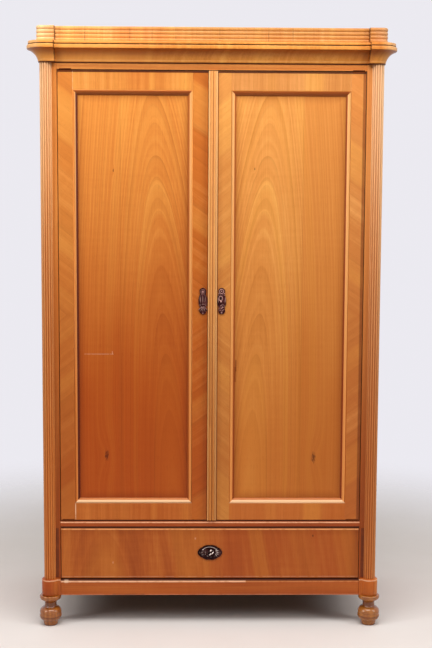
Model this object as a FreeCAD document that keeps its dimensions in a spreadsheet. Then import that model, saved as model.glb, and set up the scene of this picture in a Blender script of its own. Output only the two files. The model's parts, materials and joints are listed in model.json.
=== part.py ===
import FreeCAD, Part
import math
import os
import Sketcher
from FreeCAD import Rotation, Vector

# A two-door wardrobe cupboard with one drawer, in millimetres.
# Origin: on the floor under the middle of the whole part. +X to the right, the front faces -Y, +Z up.
# Each piece is worked out with Y zero on the plane of the door faces, then moved to that origin.

doc = FreeCAD.newDocument("Cupboard")
sheet = doc.addObject("Spreadsheet::Sheet", "Sizes")

driving_sizes = {
    # Heights, from the floor up
    "foot_height": 104.0,
    "plinth_height": 54.5,
    "plinth_corner_height": 57.0,
    "drawer_gap_below": 3.0,
    "drawer_front_height": 175.5,
    "drawer_gap_above": 2.5,
    "cross_rail_height": 22.0,
    "door_gap_below": 2.5,
    "door_height": 1496.5,
    "door_gap_above": 3.0,
    "frieze_height": 20.5,
    "cove_height": 42.0,
    "lip_height": 13.0,
    "gallery_height": 61.0,
    # Plan of the case
    "door_opening_half_width": 507.0,
    "case_depth": 530.0,
    "post_depth": 45.0,
    "side_thickness": 30.0,
    "side_rail_height": 64.0,
    "side_panel_thickness": 10.0,
    "side_panel_recess": 10.0,
    "back_thickness": 12.0,
    "board_thickness": 18.0,
    "board_play": 0.5,
    # Corner columns
    "column_reveal": 36.5,
    "column_set_back": 6.0,
    "column_radius": 20.5,
    "side_break": 8.0,
    "flute_depth": 2.2,
    "arris_width": 1.8,
    # Plinth and feet
    "plinth_projection": 5.0,
    "drum_projection": 8.0,
    "plinth_rail_thickness": 30.0,
    "drum_inner_reach": 36.0,
    "drum_rounding": 2.5,
    "foot_ring_radius": 36.0,
    "foot_neck_radius": 19.5,
    "foot_ball_radius": 35.0,
    "foot_base_radius": 23.5,
    "foot_tip_radius": 20.5,
    "foot_dowel_radius": 11.0,
    "foot_dowel_length": 30.0,
    "rear_foot_width": 58.0,
    "rear_foot_tip_width": 44.0,
    # Cornice
    "cove_foot": 3.0,
    "cove_reach": 37.0,
    "cove_hollow": 7.5,
    "lip_projection": 40.0,
    "lip_rounding": 4.0,
    "cornice_seat": 20.0,
    "cornice_block_inner_reach": 32.0,
    "cornice_block_back_reach": 24.0,
    "gallery_projection": 8.0,
    "gallery_thickness": 22.0,
    "gallery_rounding": 20.0,
    "reed_rise": 2.4,
    # Doors
    "door_gap": 2.0,
    "door_thickness": 24.0,
    "meeting_shift": 10.0,
    "meeting_stile_width": 51.0,
    "outer_stile_width": 48.0,
    "top_rail_height": 62.0,
    "bottom_rail_height": 58.0,
    "door_panel_setback": 11.0,
    "door_panel_thickness": 8.0,
    "groove_depth": 8.0,
    "panel_play": 1.0,
    "bevel_width": 12.5,
    "bevel_edge": 1.5,
    "tenon_length": 30.0,
    "tenon_shoulder": 9.0,
    "arris_rounding": 1.5,
    "strip_width": 28.5,
    "strip_thickness": 9.0,
    "strip_flute_depth": 3.0,
    "strip_arris_width": 2.0,
    # Pivot hinges
    "pivot_inset": 5.0,
    "pivot_pin_radius": 3.0,
    "pivot_play": 0.06,
    "pivot_plate_length": 40.0,
    "pivot_plate_thickness": 3.0,
    "pivot_pin_depth": 10.0,
    "pin_hole_play": 0.6,
    # Drawer
    "drawer_front_thickness": 22.0,
    "drawer_side_thickness": 12.0,
    "drawer_side_height": 156.0,
    "drawer_back_room": 38.0,
    "drawer_side_play": 1.5,
    "drawer_bottom_thickness": 8.0,
    "drawer_bottom_rise": 12.0,
    "runner_height": 22.0,
    "runner_ledge": 22.0,
    "runner_play": 0.3,
    "guide_height": 40.0,
    "guide_play": 1.0,
    # Inside fittings
    "hat_space_height": 254.0,
    "hat_shelf_setback": 60.0,
    "bearer_thickness": 22.0,
    "bearer_height": 20.0,
    "hat_bearer_height": 70.0,
    "hanging_rail_radius": 14.0,
    "hanging_rail_drop": 38.0,
    "hanging_rail_play": 0.3,
    "socket_radius": 26.0,
    "socket_thickness": 14.0,
    # Locks and bolts
    "lock_width": 54.0,
    "lock_height": 74.0,
    "lock_thickness": 12.0,
    "lock_wall": 2.0,
    "lock_play": 0.3,
    "lock_bolt_width": 22.0,
    "lock_bolt_thickness": 6.5,
    "lock_bolt_length": 34.0,
    "drawer_lock_height": 98.5,
    "drawer_bolt_length": 68.0,
    "drawer_bolt_travel": 9.0,
    "bolt_setback": 0.5,
    "key_hole_radius": 3.6,
    "key_slot_width": 3.4,
    "key_slot_drop": 11.0,
    "door_key_shift": 3.5,
    "door_key_height": 753.0,
    "drawer_key_offset": -4.0,
    "drawer_key_height": 87.5,
    "slide_bolt_width": 10.0,
    "slide_bolt_thickness": 5.0,
    "slide_bolt_length": 110.0,
    "slide_bolt_travel": 12.0,
    "slide_plate_width": 26.0,
    "slide_plate_length": 96.0,
    "slide_plate_thickness": 2.0,
    "slide_guide_height": 16.0,
    "slide_guide_wall": 3.0,
    "slide_knob_radius": 4.5,
    "slide_knob_length": 9.0,
    "mortise_play": 1.0,
    # Escutcheons
    "door_escutcheon_width": 30.0,
    "door_escutcheon_height": 88.0,
    "door_escutcheon_gap": 1.0,
    "door_escutcheon_drop": 9.0,
    "drawer_escutcheon_width": 84.0,
    "drawer_escutcheon_height": 49.0,
    "drawer_escutcheon_offset": -1.0,
    "drawer_escutcheon_rise": 2.5,
    "escutcheon_thickness": 3.2,
}

flute_count = 9
strip_flute_count = 3
reed_count = 5
back_board_count = 6
quarter_turn = 90.0
full_turn = 360.0
quarter_bow_share = 0.2929


class Size:
    # A length that carries its number and the sheet formula that gives it.
    def __init__(self, number, formula):
        self.number = number
        self.formula = formula

    def joined(self, sign, other, number):
        return Size(number, "(" + self.formula + " " + sign + " " + formula_of(other) + ")")

    def __add__(self, other):
        return self.joined("+", other, self.number + number_of(other))

    def __sub__(self, other):
        return self.joined("-", other, self.number - number_of(other))

    def __mul__(self, other):
        return self.joined("*", other, self.number * number_of(other))

    def __truediv__(self, other):
        return self.joined("/", other, self.number / number_of(other))

    def __neg__(self):
        if self is zero:
            return self
        return self * -1

    def root(self):
        return Size(math.sqrt(self.number), "sqrt(" + self.formula + ")")


def formula_of(value):
    if isinstance(value, Size):
        return value.formula
    return "(" + repr(float(value)) + ")"


def number_of(value):
    if isinstance(value, Size):
        return value.number
    return float(value)


class SizeTable:
    # One Size for each driving dimension, read by name.
    pass


d = SizeTable()
for row, (alias, length) in enumerate(driving_sizes.items(), start=1):
    sheet.set("A" + str(row), alias)
    sheet.set("B" + str(row), repr(length))
    sheet.setAlias("B" + str(row), alias)
    setattr(d, alias, Size(length, "Sizes." + alias))
doc.recompute()

zero = Size(0.0, "0")
nodes = []


# Levels and planes that several pieces share
plinth_top = d.foot_height + d.plinth_height
corner_top = d.foot_height + d.plinth_corner_height
drawer_low = plinth_top + d.drawer_gap_below
drawer_high = drawer_low + d.drawer_front_height
cross_low = drawer_high + d.drawer_gap_above
cross_high = cross_low + d.cross_rail_height
door_low = cross_high + d.door_gap_below
door_high = door_low + d.door_height
frieze_low = door_high + d.door_gap_above
case_top = frieze_low + d.frieze_height
hat_shelf_low = case_top - d.hat_space_height
lip_low = case_top + d.cove_height
lip_high = lip_low + d.lip_height
gallery_high = lip_high + d.gallery_height
column_x = d.door_opening_half_width + d.column_reveal
side_face = column_x + d.column_radius - d.side_break
side_inner = side_face - d.side_thickness
front_break = d.column_radius - d.column_set_back
reference_depth = (d.case_depth - front_break - d.lip_projection) / 2
rear_post_front = d.case_depth - d.post_depth
back_front = d.case_depth - d.back_thickness
drawer_depth = back_front - d.drawer_back_room
door_outer = d.door_opening_half_width - d.door_gap
panel_outer = door_outer - d.outer_stile_width
panel_low = door_low + d.bottom_rail_height
panel_high = door_high - d.top_rail_height
groove_back = d.door_panel_setback + d.door_panel_thickness
panel_near_x = d.meeting_shift + d.door_gap + d.meeting_stile_width
left_escutcheon_x = -(d.meeting_shift + d.door_gap + d.door_escutcheon_gap + d.door_escutcheon_width / 2)
right_escutcheon_x = d.strip_width - d.meeting_shift + d.door_escutcheon_gap + d.door_escutcheon_width / 2
door_key_x = right_escutcheon_x - d.door_key_shift
door_key_z = door_low + d.door_key_height
drawer_key_z = drawer_low + d.drawer_key_height

# Panels of the framed sides
side_panel_out = side_face - d.side_panel_recess
side_panel_in = side_panel_out - d.side_panel_thickness
side_panel_low = corner_top + d.side_rail_height
side_panel_high = case_top - d.side_rail_height
side_groove_z = (side_panel_low - d.groove_depth, side_panel_high + d.groove_depth)

# Where the lock bolts and the slide bolts run
lock_gap = d.lock_wall + d.lock_play
lock_bolt_front = d.door_thickness + lock_gap
lock_bolt_y = (lock_bolt_front, lock_bolt_front + d.lock_bolt_thickness)
half_bolt = d.lock_bolt_width / 2
drawer_bolt_x = (d.drawer_key_offset - half_bolt, d.drawer_key_offset + half_bolt)
drawer_bolt_front = d.drawer_front_thickness + lock_gap
drawer_bolt_y = (drawer_bolt_front, drawer_bolt_front + d.lock_bolt_thickness)
slide_bolt_middle = -(panel_near_x + d.meeting_shift + d.door_gap) / 2
half_slide_bolt = d.slide_bolt_width / 2
slide_bolt_x = (slide_bolt_middle - half_slide_bolt, slide_bolt_middle + half_slide_bolt)
slide_bolt_front = d.door_thickness + d.slide_plate_thickness + d.lock_play
slide_bolt_y = (slide_bolt_front, slide_bolt_front + d.slide_bolt_thickness)


def bind(thing, prop, value):
    thing.setExpression(prop, formula_of(value))


def place(thing, x=zero, y=zero, z=zero):
    for axis, value in (("x", x), ("y", y), ("z", z)):
        bind(thing, "Placement.Base." + axis, value)
    return thing


def node(thing, label):
    # The finished piece, moved from the plane of the door faces to the origin of the part.
    thing.Label = label + "_in_place"
    finished = doc.addObject("Part::Compound", "finished_" + label)
    finished.Label = label
    finished.Links = [thing]
    place(finished, zero, -reference_depth, zero)
    nodes.append(finished)
    return thing


def box(name, x, y, z):
    # x, y and z are pairs of the low and the high end.
    solid = doc.addObject("Part::Box", name)
    for prop, span in (("Length", x), ("Width", y), ("Height", z)):
        bind(solid, prop, span[1] - span[0])
    return place(solid, x[0], y[0], z[0])


def cylinder(name, axis, centre, radius, length):
    # centre is the middle of the starting end, and the cylinder runs along +axis.
    solid = doc.addObject("Part::Cylinder", name)
    bind(solid, "Radius", radius)
    bind(solid, "Height", length)
    turns = {
        "x": Rotation(Vector(0, 1, 0), quarter_turn),
        "y": Rotation(Vector(1, 0, 0), -quarter_turn),
        "z": Rotation(),
    }
    solid.Placement.Rotation = turns[axis]
    return place(solid, *centre)


def fused(name, pieces):
    whole = doc.addObject("Part::MultiFuse", name)
    whole.Shapes = pieces
    whole.Refine = True
    return whole


def cut(name, base, tools):
    tool = tools[0]
    if len(tools) > 1:
        tool = doc.addObject("Part::Compound", name + "_tools")
        tool.Links = tools
    result = doc.addObject("Part::Cut", name)
    result.Base = base
    result.Tool = tool
    return result


def group(name, pieces):
    whole = doc.addObject("Part::Compound", name)
    whole.Links = pieces
    return whole


def mirrored(name, source):
    twin = doc.addObject("Part::Mirroring", name)
    twin.Source = source
    twin.Normal = Vector(1, 0, 0)
    return twin


def across(side, low, high):
    # A span along X on the right half, turned over for the left half.
    if side > 0:
        return (low, high)
    return (-high, -low)


def ordered(first, last):
    if first.number < last.number:
        return (first, last)
    return (last, first)


def grown(span, amount):
    return (span[0] - amount, span[1] + amount)


def origin_plane(body, role):
    for feature in body.Origin.OriginFeatures:
        if feature.Role == role:
            return feature
    raise ValueError(role)


def add_outline(body, name, role, points):
    # points are (u, v) or (u, v, rise): rise bows the edge to the next point, out to its right.
    sketch = body.newObject("Sketcher::SketchObject", name)
    sketch.AttachmentSupport = [(origin_plane(body, role), "")]
    sketch.MapMode = "FlatFace"
    corners = [Vector(p[0].number, p[1].number, 0) for p in points]
    ends = []
    count = len(points)
    for i, point in enumerate(points):
        start = corners[i]
        finish = corners[(i + 1) % count]
        if len(point) == 2:
            sketch.addGeometry(Part.LineSegment(start, finish), False)
            ends.append((1, 2))
            continue
        chord = finish - start
        outward = Vector(chord.y, -chord.x, 0).normalize()
        middle = (start + finish) / 2 + outward * point[2].number
        if point[2].number > 0:
            sketch.addGeometry(Part.Arc(start, middle, finish), False)
            ends.append((1, 2))
        else:
            sketch.addGeometry(Part.Arc(finish, middle, start), False)
            ends.append((2, 1))
    rules = []
    driven = []
    for i, point in enumerate(points):
        following = (i + 1) % count
        rules.append(Sketcher.Constraint("Coincident", i, ends[i][1], following, ends[following][0]))
        for axis, value, line in (("DistanceX", point[0], -2), ("DistanceY", point[1], -1)):
            if value is zero:
                rules.append(Sketcher.Constraint("PointOnObject", i, ends[i][0], line))
                continue
            driven.append((len(rules), value))
            rules.append(Sketcher.Constraint(axis, -1, 1, i, ends[i][0], value.number))
        if len(point) == 3:
            chord_u = points[following][0] - point[0]
            chord_v = points[following][1] - point[1]
            rise = point[2]
            if rise.number < 0:
                rise = -rise
            radius = (chord_u * chord_u + chord_v * chord_v) / (rise * 8) + rise / 2
            driven.append((len(rules), radius))
            rules.append(Sketcher.Constraint("Radius", i, radius.number))
    sketch.addConstraint(rules)
    for index, value in driven:
        bind(sketch, "Constraints[" + str(index) + "]", value)
    return sketch


def new_body(name):
    return doc.addObject("PartDesign::Body", name)


def pad(body, name, role, points, length, backwards=False):
    profile = add_outline(body, name + "_outline", role, points)
    feature = body.newObject("PartDesign::Pad", name)
    feature.Profile = profile
    feature.Reversed = backwards
    bind(feature, "Length", length)
    return feature


def revolution(body, name, points, angle, backwards=False):
    profile = add_outline(body, name + "_outline", "XZ_Plane", points)
    feature = body.newObject("PartDesign::Revolution", name)
    feature.Profile = profile
    feature.ReferenceAxis = (profile, ["V_Axis"])
    feature.Angle = angle
    feature.Reversed = backwards
    return feature


def flipped(points):
    # The same outline on the other side of the upright axis.
    result = []
    for point in points:
        turned = [-point[0], point[1]]
        if len(point) == 3:
            turned.append(-point[2])
        result.append(tuple(turned))
    return result


def widened(points, amount):
    return [(p[0] + amount,) + tuple(p[1:]) for p in points]


def corner_block(name, profile, inner_reach, back_reach):
    # A moulding that turns a quarter round the upright axis, with a straight return each way.
    low = profile[0][1]
    high = profile[-1][1]
    body = new_body(name)
    closed = [(zero, low)] + profile + [(zero, high)]
    revolution(body, name + "_turn", closed, quarter_turn, backwards=True)
    pad(body, name + "_side", "XZ_Plane", closed, back_reach, backwards=True)
    front = [(back_reach, low)] + flipped(profile) + [(back_reach, high)]
    pad(body, name + "_front", "YZ_Plane", front, inner_reach, backwards=True)
    return body


def fluted_edge(start, finish, land, depth, count):
    # A straight edge from start to finish with hollow flutes between flat lands.
    run_u = finish[0] - start[0]
    run_v = finish[1] - start[1]
    length = (run_u * run_u + run_v * run_v).root()
    land_share = land / length
    points = []
    for i in range(count):
        first = zero + i / count + land_share / 2
        last = zero + (i + 1) / count - land_share / 2
        points.append((start[0] + run_u * first, start[1] + run_v * first, -depth))
        points.append((start[0] + run_u * last, start[1] + run_v * last))
    return points


def fluted_arc(radius, first_angle, last_angle, land, depth, count):
    # Flutes round an arc about the origin, from first_angle to last_angle in degrees.
    step = (last_angle - first_angle) / count
    half_land = math.degrees(land.number / radius.number / 2)
    points = []
    for i in range(count):
        first = math.radians(first_angle + step * i + half_land)
        last = math.radians(first_angle + step * (i + 1) - half_land)
        points.append((radius * math.cos(first), radius * math.sin(first), -depth))
        points.append((radius * math.cos(last), radius * math.sin(last)))
    return points


# Posts: the front ones show beside the doors, the rear ones carry the back boards.
def make_posts():
    height = (corner_top, case_top)
    front_groove_y = (d.post_depth - d.groove_depth, d.post_depth)
    rear_groove_y = (rear_post_front, rear_post_front + d.groove_depth)
    rears = []
    for side, name in ((-1, "left"), (1, "right")):
        groove_x = across(side, side_panel_in, side_panel_out)
        label = name + "_front_post"
        front_x = across(side, d.door_opening_half_width, side_face)
        blank = box(label + "_blank", front_x, (zero, d.post_depth), height)
        groove = box(label + "_groove", groove_x, front_groove_y, side_groove_z)
        node(cut(label, blank, [groove]), label)
        label = name + "_rear_post"
        rear_x = across(side, side_inner, side_face)
        blank = box(label + "_blank", rear_x, (rear_post_front, d.case_depth), height)
        groove = box(label + "_groove", groove_x, rear_groove_y, side_groove_z)
        rears.append(cut(label, blank, [groove]))
    node(group("rear_posts", rears), "rear_posts")


# Framed sides: a top and a bottom rail and a panel in grooves.
def make_sides():
    rails = []
    for side, name in ((-1, "left_side"), (1, "right_side")):
        groove_x = across(side, side_panel_in, side_panel_out)
        rail_x = across(side, side_inner, side_face)
        run = (d.post_depth, rear_post_front)
        bottom = box(name + "_bottom_blank", rail_x, run, (corner_top, side_panel_low))
        bottom_z = (side_groove_z[0], side_panel_low)
        bottom_groove = box(name + "_bottom_groove", groove_x, run, bottom_z)
        rails.append(cut(name + "_bottom_rail", bottom, [bottom_groove]))
        top = box(name + "_top_blank", rail_x, run, (side_panel_high, case_top))
        top_groove = box(name + "_top_groove", groove_x, run, (side_panel_high, side_groove_z[1]))
        rails.append(cut(name + "_top_rail", top, [top_groove]))
        reach = d.groove_depth - d.panel_play
        panel_z = grown((side_panel_low, side_panel_high), reach)
        node(box(name + "_panel", groove_x, grown(run, reach), panel_z), name + "_panel")
    node(group("side_rails", rails), "side_rails")


# Thin rails across the front, above and below the doors, with the hinge plates and bolts let in.
def pivot_plate(name, side, z):
    pivot_x = door_outer - d.pivot_inset
    bar_x = across(side, pivot_x - d.pivot_plate_length, pivot_x)
    bar = box(name + "_bar", bar_x, (zero, d.pivot_inset * 2), z)
    centre = (pivot_x * side, d.pivot_inset, z[0])
    eye = cylinder(name + "_eye", "z", centre, d.pivot_inset, z[1] - z[0])
    return fused(name, [bar, eye])


def make_front_rails():
    width = (-d.door_opening_half_width, d.door_opening_half_width)
    depth = (zero, d.post_depth)
    play = d.mortise_play / 2
    bolt_x = grown(slide_bolt_x, play)
    bolt_y = grown(slide_bolt_y, play)
    bolt_depth = d.slide_bolt_travel
    frieze = box("frieze_blank", width, depth, (frieze_low, case_top))
    cuts = []
    for side, name in ((-1, "frieze_left_seat"), (1, "frieze_right_seat")):
        cuts.append(pivot_plate(name, side, (frieze_low, frieze_low + d.pivot_plate_thickness)))
    cuts.append(box("frieze_mortise", bolt_x, bolt_y, (frieze_low, frieze_low + bolt_depth)))
    node(cut("frieze_rail", frieze, cuts), "frieze_rail")
    cross = box("cross_blank", width, depth, (cross_low, cross_high))
    cuts = []
    for side, name in ((-1, "cross_left_seat"), (1, "cross_right_seat")):
        cuts.append(pivot_plate(name, side, (cross_high - d.pivot_plate_thickness, cross_high)))
    cuts.append(box("cross_mortise", bolt_x, bolt_y, (cross_high - bolt_depth, cross_high)))
    lock_z = (cross_low, cross_low + d.drawer_bolt_travel)
    lock_mortise = box("cross_lock_mortise", grown(drawer_bolt_x, play), grown(drawer_bolt_y, play), lock_z)
    cuts.append(lock_mortise)
    node(cut("cross_rail", cross, cuts), "cross_rail")


# Fluted round columns that stand on the plinth corners and wrap the front posts.
def make_columns():
    body = new_body("right_column_body")
    radius = d.column_radius
    front_chord = (radius * radius - d.column_set_back * d.column_set_back).root()
    side_offset = radius - d.side_break
    side_chord = (radius * radius - side_offset * side_offset).root()
    first = math.degrees(math.atan2(-d.column_set_back.number, -front_chord.number)) + full_turn
    last = math.degrees(math.atan2(side_chord.number, side_offset.number)) + full_turn
    edge = fluted_arc(radius, first, last, d.arris_width, d.flute_depth, flute_count)
    outline = [(-front_chord, -d.column_set_back)] + edge
    outline += [(side_offset, side_chord), (side_offset, -d.column_set_back)]
    pad(body, "right_column_shaft", "XY_Plane", outline, case_top - corner_top)
    place(body, column_x, d.column_set_back, corner_top)
    node(body, "right_column")
    node(mirrored("left_column", body), "left_column")


# Plinth: a rail between two drum-shaped corner blocks, and a rail along each side.
def make_plinth():
    drum_radius = d.column_radius + d.drum_projection
    block_inner = column_x - d.drum_inner_reach
    body = new_body("right_drum_body")
    top = d.plinth_corner_height
    profile = [(zero, zero), (drum_radius - d.drum_rounding, zero), (drum_radius, d.drum_rounding),
               (drum_radius, top - d.drum_rounding), (drum_radius - d.drum_rounding, top), (zero, top)]
    revolution(body, "right_drum_turn", profile, full_turn)
    place(body, column_x, d.column_set_back, d.foot_height)
    block_front = -(d.plinth_projection + d.drum_rounding)
    height = (d.foot_height, corner_top)
    block_x = (block_inner, side_face + d.drum_projection)
    block = box("right_drum_block", block_x, (zero, d.post_depth), height)
    cheek = box("right_drum_cheek", (block_inner, column_x), (block_front, d.post_depth), height)
    solid = fused("right_drum_solid", [body, block, cheek])
    hole = cylinder("right_drum_hole", "z", (column_x, d.column_set_back, d.foot_height),
                    d.foot_dowel_radius, d.foot_dowel_length)
    drum = node(cut("right_plinth_corner", solid, [hole]), "right_plinth_corner")
    node(mirrored("left_plinth_corner", drum), "left_plinth_corner")
    rail_y = (-d.plinth_projection, d.plinth_rail_thickness - d.plinth_projection)
    rail_z = (d.foot_height, plinth_top)
    node(box("plinth_front_rail", (-block_inner, block_inner), rail_y, rail_z), "plinth_front_rail")
    rails = []
    outer = side_face + d.plinth_projection
    for side, name in ((-1, "left_plinth_rail"), (1, "right_plinth_rail")):
        x = across(side, outer - d.plinth_rail_thickness, outer)
        rails.append(box(name, x, (d.post_depth, d.case_depth), height))
    node(group("plinth_side_rails", rails), "plinth_side_rails")


# Turned front feet with a dowel into the plinth corner, and plain tapered rear feet.
def make_feet():
    body = new_body("right_front_foot_body")
    ring = d.foot_ring_radius
    ball = d.foot_ball_radius
    neck = d.foot_neck_radius
    top = d.foot_height
    base_share = 0.15
    ball_low_share = 0.165
    ball_mid_share = 0.39
    ball_high_share = 0.60
    ball_bow_share = 0.05
    neck_low_share = 0.64
    neck_high_share = 0.70
    neck_hollow_share = 0.035
    ring_low_share = 0.86
    ring_mid_share = 0.95
    ring_bow_share = 0.012
    shoulder_share = 0.2
    shoulder = (ball - neck) * shoulder_share
    outline = [
        (zero, zero),
        (d.foot_tip_radius, zero),
        (d.foot_base_radius, top * base_share),
        (d.foot_base_radius, top * ball_low_share, top * ball_bow_share),
        (ball, top * ball_mid_share, top * ball_bow_share),
        (neck + shoulder, top * ball_high_share),
        (neck, top * neck_low_share),
        (neck, top * neck_high_share, top * -neck_hollow_share),
        (ring - shoulder, top * ring_low_share, top * ring_bow_share),
        (ring, top * ring_mid_share, top * ring_bow_share),
        (ring - d.drum_rounding, top),
        (d.foot_dowel_radius, top),
        (d.foot_dowel_radius, top + d.foot_dowel_length),
        (zero, top + d.foot_dowel_length),
    ]
    revolution(body, "right_front_foot_turn", outline, full_turn)
    place(body, column_x, d.column_set_back, zero)
    node(body, "right_front_foot")
    node(mirrored("left_front_foot", body), "left_front_foot")
    rears = []
    for side, name in ((-1, "left_rear_foot"), (1, "right_rear_foot")):
        foot = doc.addObject("Part::Wedge", name)
        half = d.rear_foot_width / 2
        tip = d.rear_foot_tip_width / 2
        for prop, value in (("Xmin", -tip), ("Xmax", tip), ("Zmin", -tip), ("Zmax", tip),
                            ("X2min", -half), ("X2max", half), ("Z2min", -half), ("Z2max", half),
                            ("Ymin", zero), ("Ymax", top)):
            bind(foot, prop, value)
        foot.Placement.Rotation = Rotation(Vector(1, 0, 0), quarter_turn)
        centre_x = side_face + d.plinth_projection - half
        place(foot, centre_x * side, d.case_depth - half, zero)
        rears.append(foot)
    node(group("rear_feet", rears), "rear_feet")


# Boards of the case: floor, hat shelf, top and upright back boards.
def make_boards():
    width = (-side_inner + d.board_play, side_inner - d.board_play)
    floor_z = (cross_high - d.board_thickness, cross_high)
    node(box("floor_board", width, (d.post_depth, back_front), floor_z), "floor_board")
    shelf_y = (d.hat_shelf_setback, back_front)
    shelf_z = (hat_shelf_low, hat_shelf_low + d.board_thickness)
    node(box("hat_shelf", width, shelf_y, shelf_z), "hat_shelf")
    top_z = (case_top, case_top + d.board_thickness)
    node(box("top_board", (-side_face, side_face), (zero, d.case_depth), top_z), "top_board")
    boards = []
    board_width = side_inner * 2 / back_board_count
    for i in range(back_board_count):
        x = (board_width * i - side_inner, board_width * (i + 1) - side_inner)
        height = (d.foot_height, case_top)
        boards.append(box("back_board_" + str(i + 1), x, (back_front, d.case_depth), height))
    node(group("back_boards", boards), "back_boards")


# Bearers under the floor and the hat shelf, and the hanging rail in its sockets.
def make_inside_fittings():
    bearers = []
    inner = side_panel_in - d.bearer_thickness
    run = (d.post_depth, rear_post_front)
    floor_low = cross_high - d.board_thickness
    floor_bearer_z = (floor_low - d.bearer_height, floor_low)
    shelf_bearer_z = (hat_shelf_low - d.hat_bearer_height, hat_shelf_low)
    for side, name in ((-1, "left"), (1, "right")):
        x = across(side, inner, side_panel_in)
        bearers.append(box(name + "_floor_bearer", x, run, floor_bearer_z))
        bearers.append(box(name + "_shelf_bearer", x, run, shelf_bearer_z))
    node(group("shelf_bearers", bearers), "shelf_bearers")
    rail_y = (d.post_depth + rear_post_front) / 2
    rail_z = hat_shelf_low - d.hanging_rail_drop
    sockets = []
    socket_inner = inner - d.socket_thickness
    for side, name in ((-1, "left_socket"), (1, "right_socket")):
        start = (across(side, socket_inner, inner)[0], rail_y, rail_z)
        disc = cylinder(name + "_disc", "x", start, d.socket_radius, d.socket_thickness)
        hole_radius = d.hanging_rail_radius + d.hanging_rail_play
        hole = cylinder(name + "_hole", "x", start, hole_radius, d.socket_thickness)
        sockets.append(cut(name, disc, [hole]))
    node(group("rail_sockets", sockets), "rail_sockets")
    end = inner - d.hanging_rail_play
    rail = cylinder("hanging_rail", "x", (-end, rail_y, rail_z), d.hanging_rail_radius, end * 2)
    node(rail, "hanging_rail")


# Runners carry the drawer sides, and guides keep them in line.
def make_runners():
    drawer_side = door_outer - d.drawer_side_play
    guide_inner = drawer_side + d.guide_play
    runners = []
    top = drawer_low - d.runner_play
    run = (d.post_depth, rear_post_front)
    for side, name in ((-1, "left_runner"), (1, "right_runner")):
        ledge_x = across(side, guide_inner - d.runner_ledge, side_inner)
        ledge = box(name + "_ledge", ledge_x, run, (top - d.runner_height, top))
        guide = box(name + "_guide", across(side, guide_inner, side_inner), run, (top, top + d.guide_height))
        runners.append(fused(name, [ledge, guide]))
    node(group("drawer_runners", runners), "drawer_runners")


# Cornice: a cove under a rounded lip, with corner blocks that follow the columns.
def cornice_profile():
    chamfer = d.lip_rounding / 4
    return [
        (d.cove_foot, case_top, -d.cove_hollow),
        (d.cove_reach, lip_low),
        (d.lip_projection - chamfer, lip_low),
        (d.lip_projection, lip_low + chamfer),
        (d.lip_projection, lip_high - d.lip_rounding, d.lip_rounding * quarter_bow_share),
        (d.lip_projection - d.lip_rounding, lip_high),
    ]


def make_cornice():
    board_top = case_top + d.board_thickness
    profile = cornice_profile()
    block_x = column_x - d.cornice_block_inner_reach
    block_back = d.column_set_back + d.cornice_block_back_reach
    front = new_body("cornice_front_body")
    seat = [(d.cornice_seat, lip_high), (d.cornice_seat, board_top), (zero, board_top), (zero, case_top)]
    pad(front, "cornice_front_run", "YZ_Plane", flipped(profile) + seat, block_x * 2)
    place(front, -block_x, zero, zero)
    node(front, "cornice_front")
    side = new_body("cornice_right_body")
    seat_inner = side_face - d.cornice_seat
    side_outline = widened(profile, side_face)
    side_outline += [(seat_inner, lip_high), (seat_inner, board_top)]
    side_outline += [(side_face, board_top), (side_face, case_top)]
    pad(side, "cornice_right_run", "XZ_Plane", side_outline, d.case_depth - block_back)
    place(side, zero, d.case_depth, zero)
    node(side, "cornice_right")
    node(mirrored("cornice_left", side), "cornice_left")
    block = corner_block("cornice_corner_body", widened(profile, d.column_radius),
                         d.cornice_block_inner_reach, d.cornice_block_back_reach)
    place(block, column_x, d.column_set_back, zero)
    room_z = (case_top, board_top)
    board_room = box("cornice_corner_room", (block_x, side_face), (zero, block_back), room_z)
    corner = node(cut("cornice_right_corner", block, [board_room]), "cornice_right_corner")
    node(mirrored("cornice_left_corner", corner), "cornice_left_corner")


# Gallery: a reeded parapet round the front and the sides, open behind.
def gallery_profile():
    reed = d.gallery_height / reed_count
    points = []
    for i in range(reed_count):
        points.append((zero + d.gallery_projection - d.reed_rise, lip_high + reed * i, d.reed_rise))
    points.append((d.gallery_projection - d.reed_rise, gallery_high))
    return points


def make_gallery():
    profile = gallery_profile()
    inset = d.column_radius + d.gallery_projection - d.gallery_rounding
    inner_reach = d.cornice_block_inner_reach + inset
    back_reach = d.cornice_block_back_reach + inset
    block_x = column_x - d.cornice_block_inner_reach
    block_back = d.column_set_back + d.cornice_block_back_reach
    inner_face = d.gallery_thickness - d.gallery_projection
    front = new_body("gallery_front")
    pad(front, "gallery_front_run", "YZ_Plane",
        flipped(profile) + [(inner_face, gallery_high), (inner_face, lip_high)], block_x * 2)
    place(front, -block_x, zero, zero)
    side = new_body("gallery_right")
    outline = widened(profile, side_face)
    outline += [(side_face - inner_face, gallery_high), (side_face - inner_face, lip_high)]
    pad(side, "gallery_right_run", "XZ_Plane", outline, d.case_depth - block_back)
    place(side, zero, d.case_depth, zero)
    corner_profile = widened(profile, d.gallery_rounding - d.gallery_projection)
    block = corner_block("gallery_right_corner", corner_profile, inner_reach, back_reach)
    place(block, column_x + inset, d.column_set_back - inset, zero)
    left_side = mirrored("gallery_left", side)
    left_block = mirrored("gallery_left_corner", block)
    node(group("gallery", [front, side, left_side, block, left_block]), "gallery")


# Doors: two stiles, two tenoned rails, a panel in grooves and a bevelled moulding round it.
def door_edges(side):
    # X of the outer edge, the panel opening and the meeting edge of one door.
    if side < 0:
        return -door_outer, -panel_outer, -panel_near_x, -(d.meeting_shift + d.door_gap)
    return door_outer, panel_outer, panel_near_x, -d.meeting_shift


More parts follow.
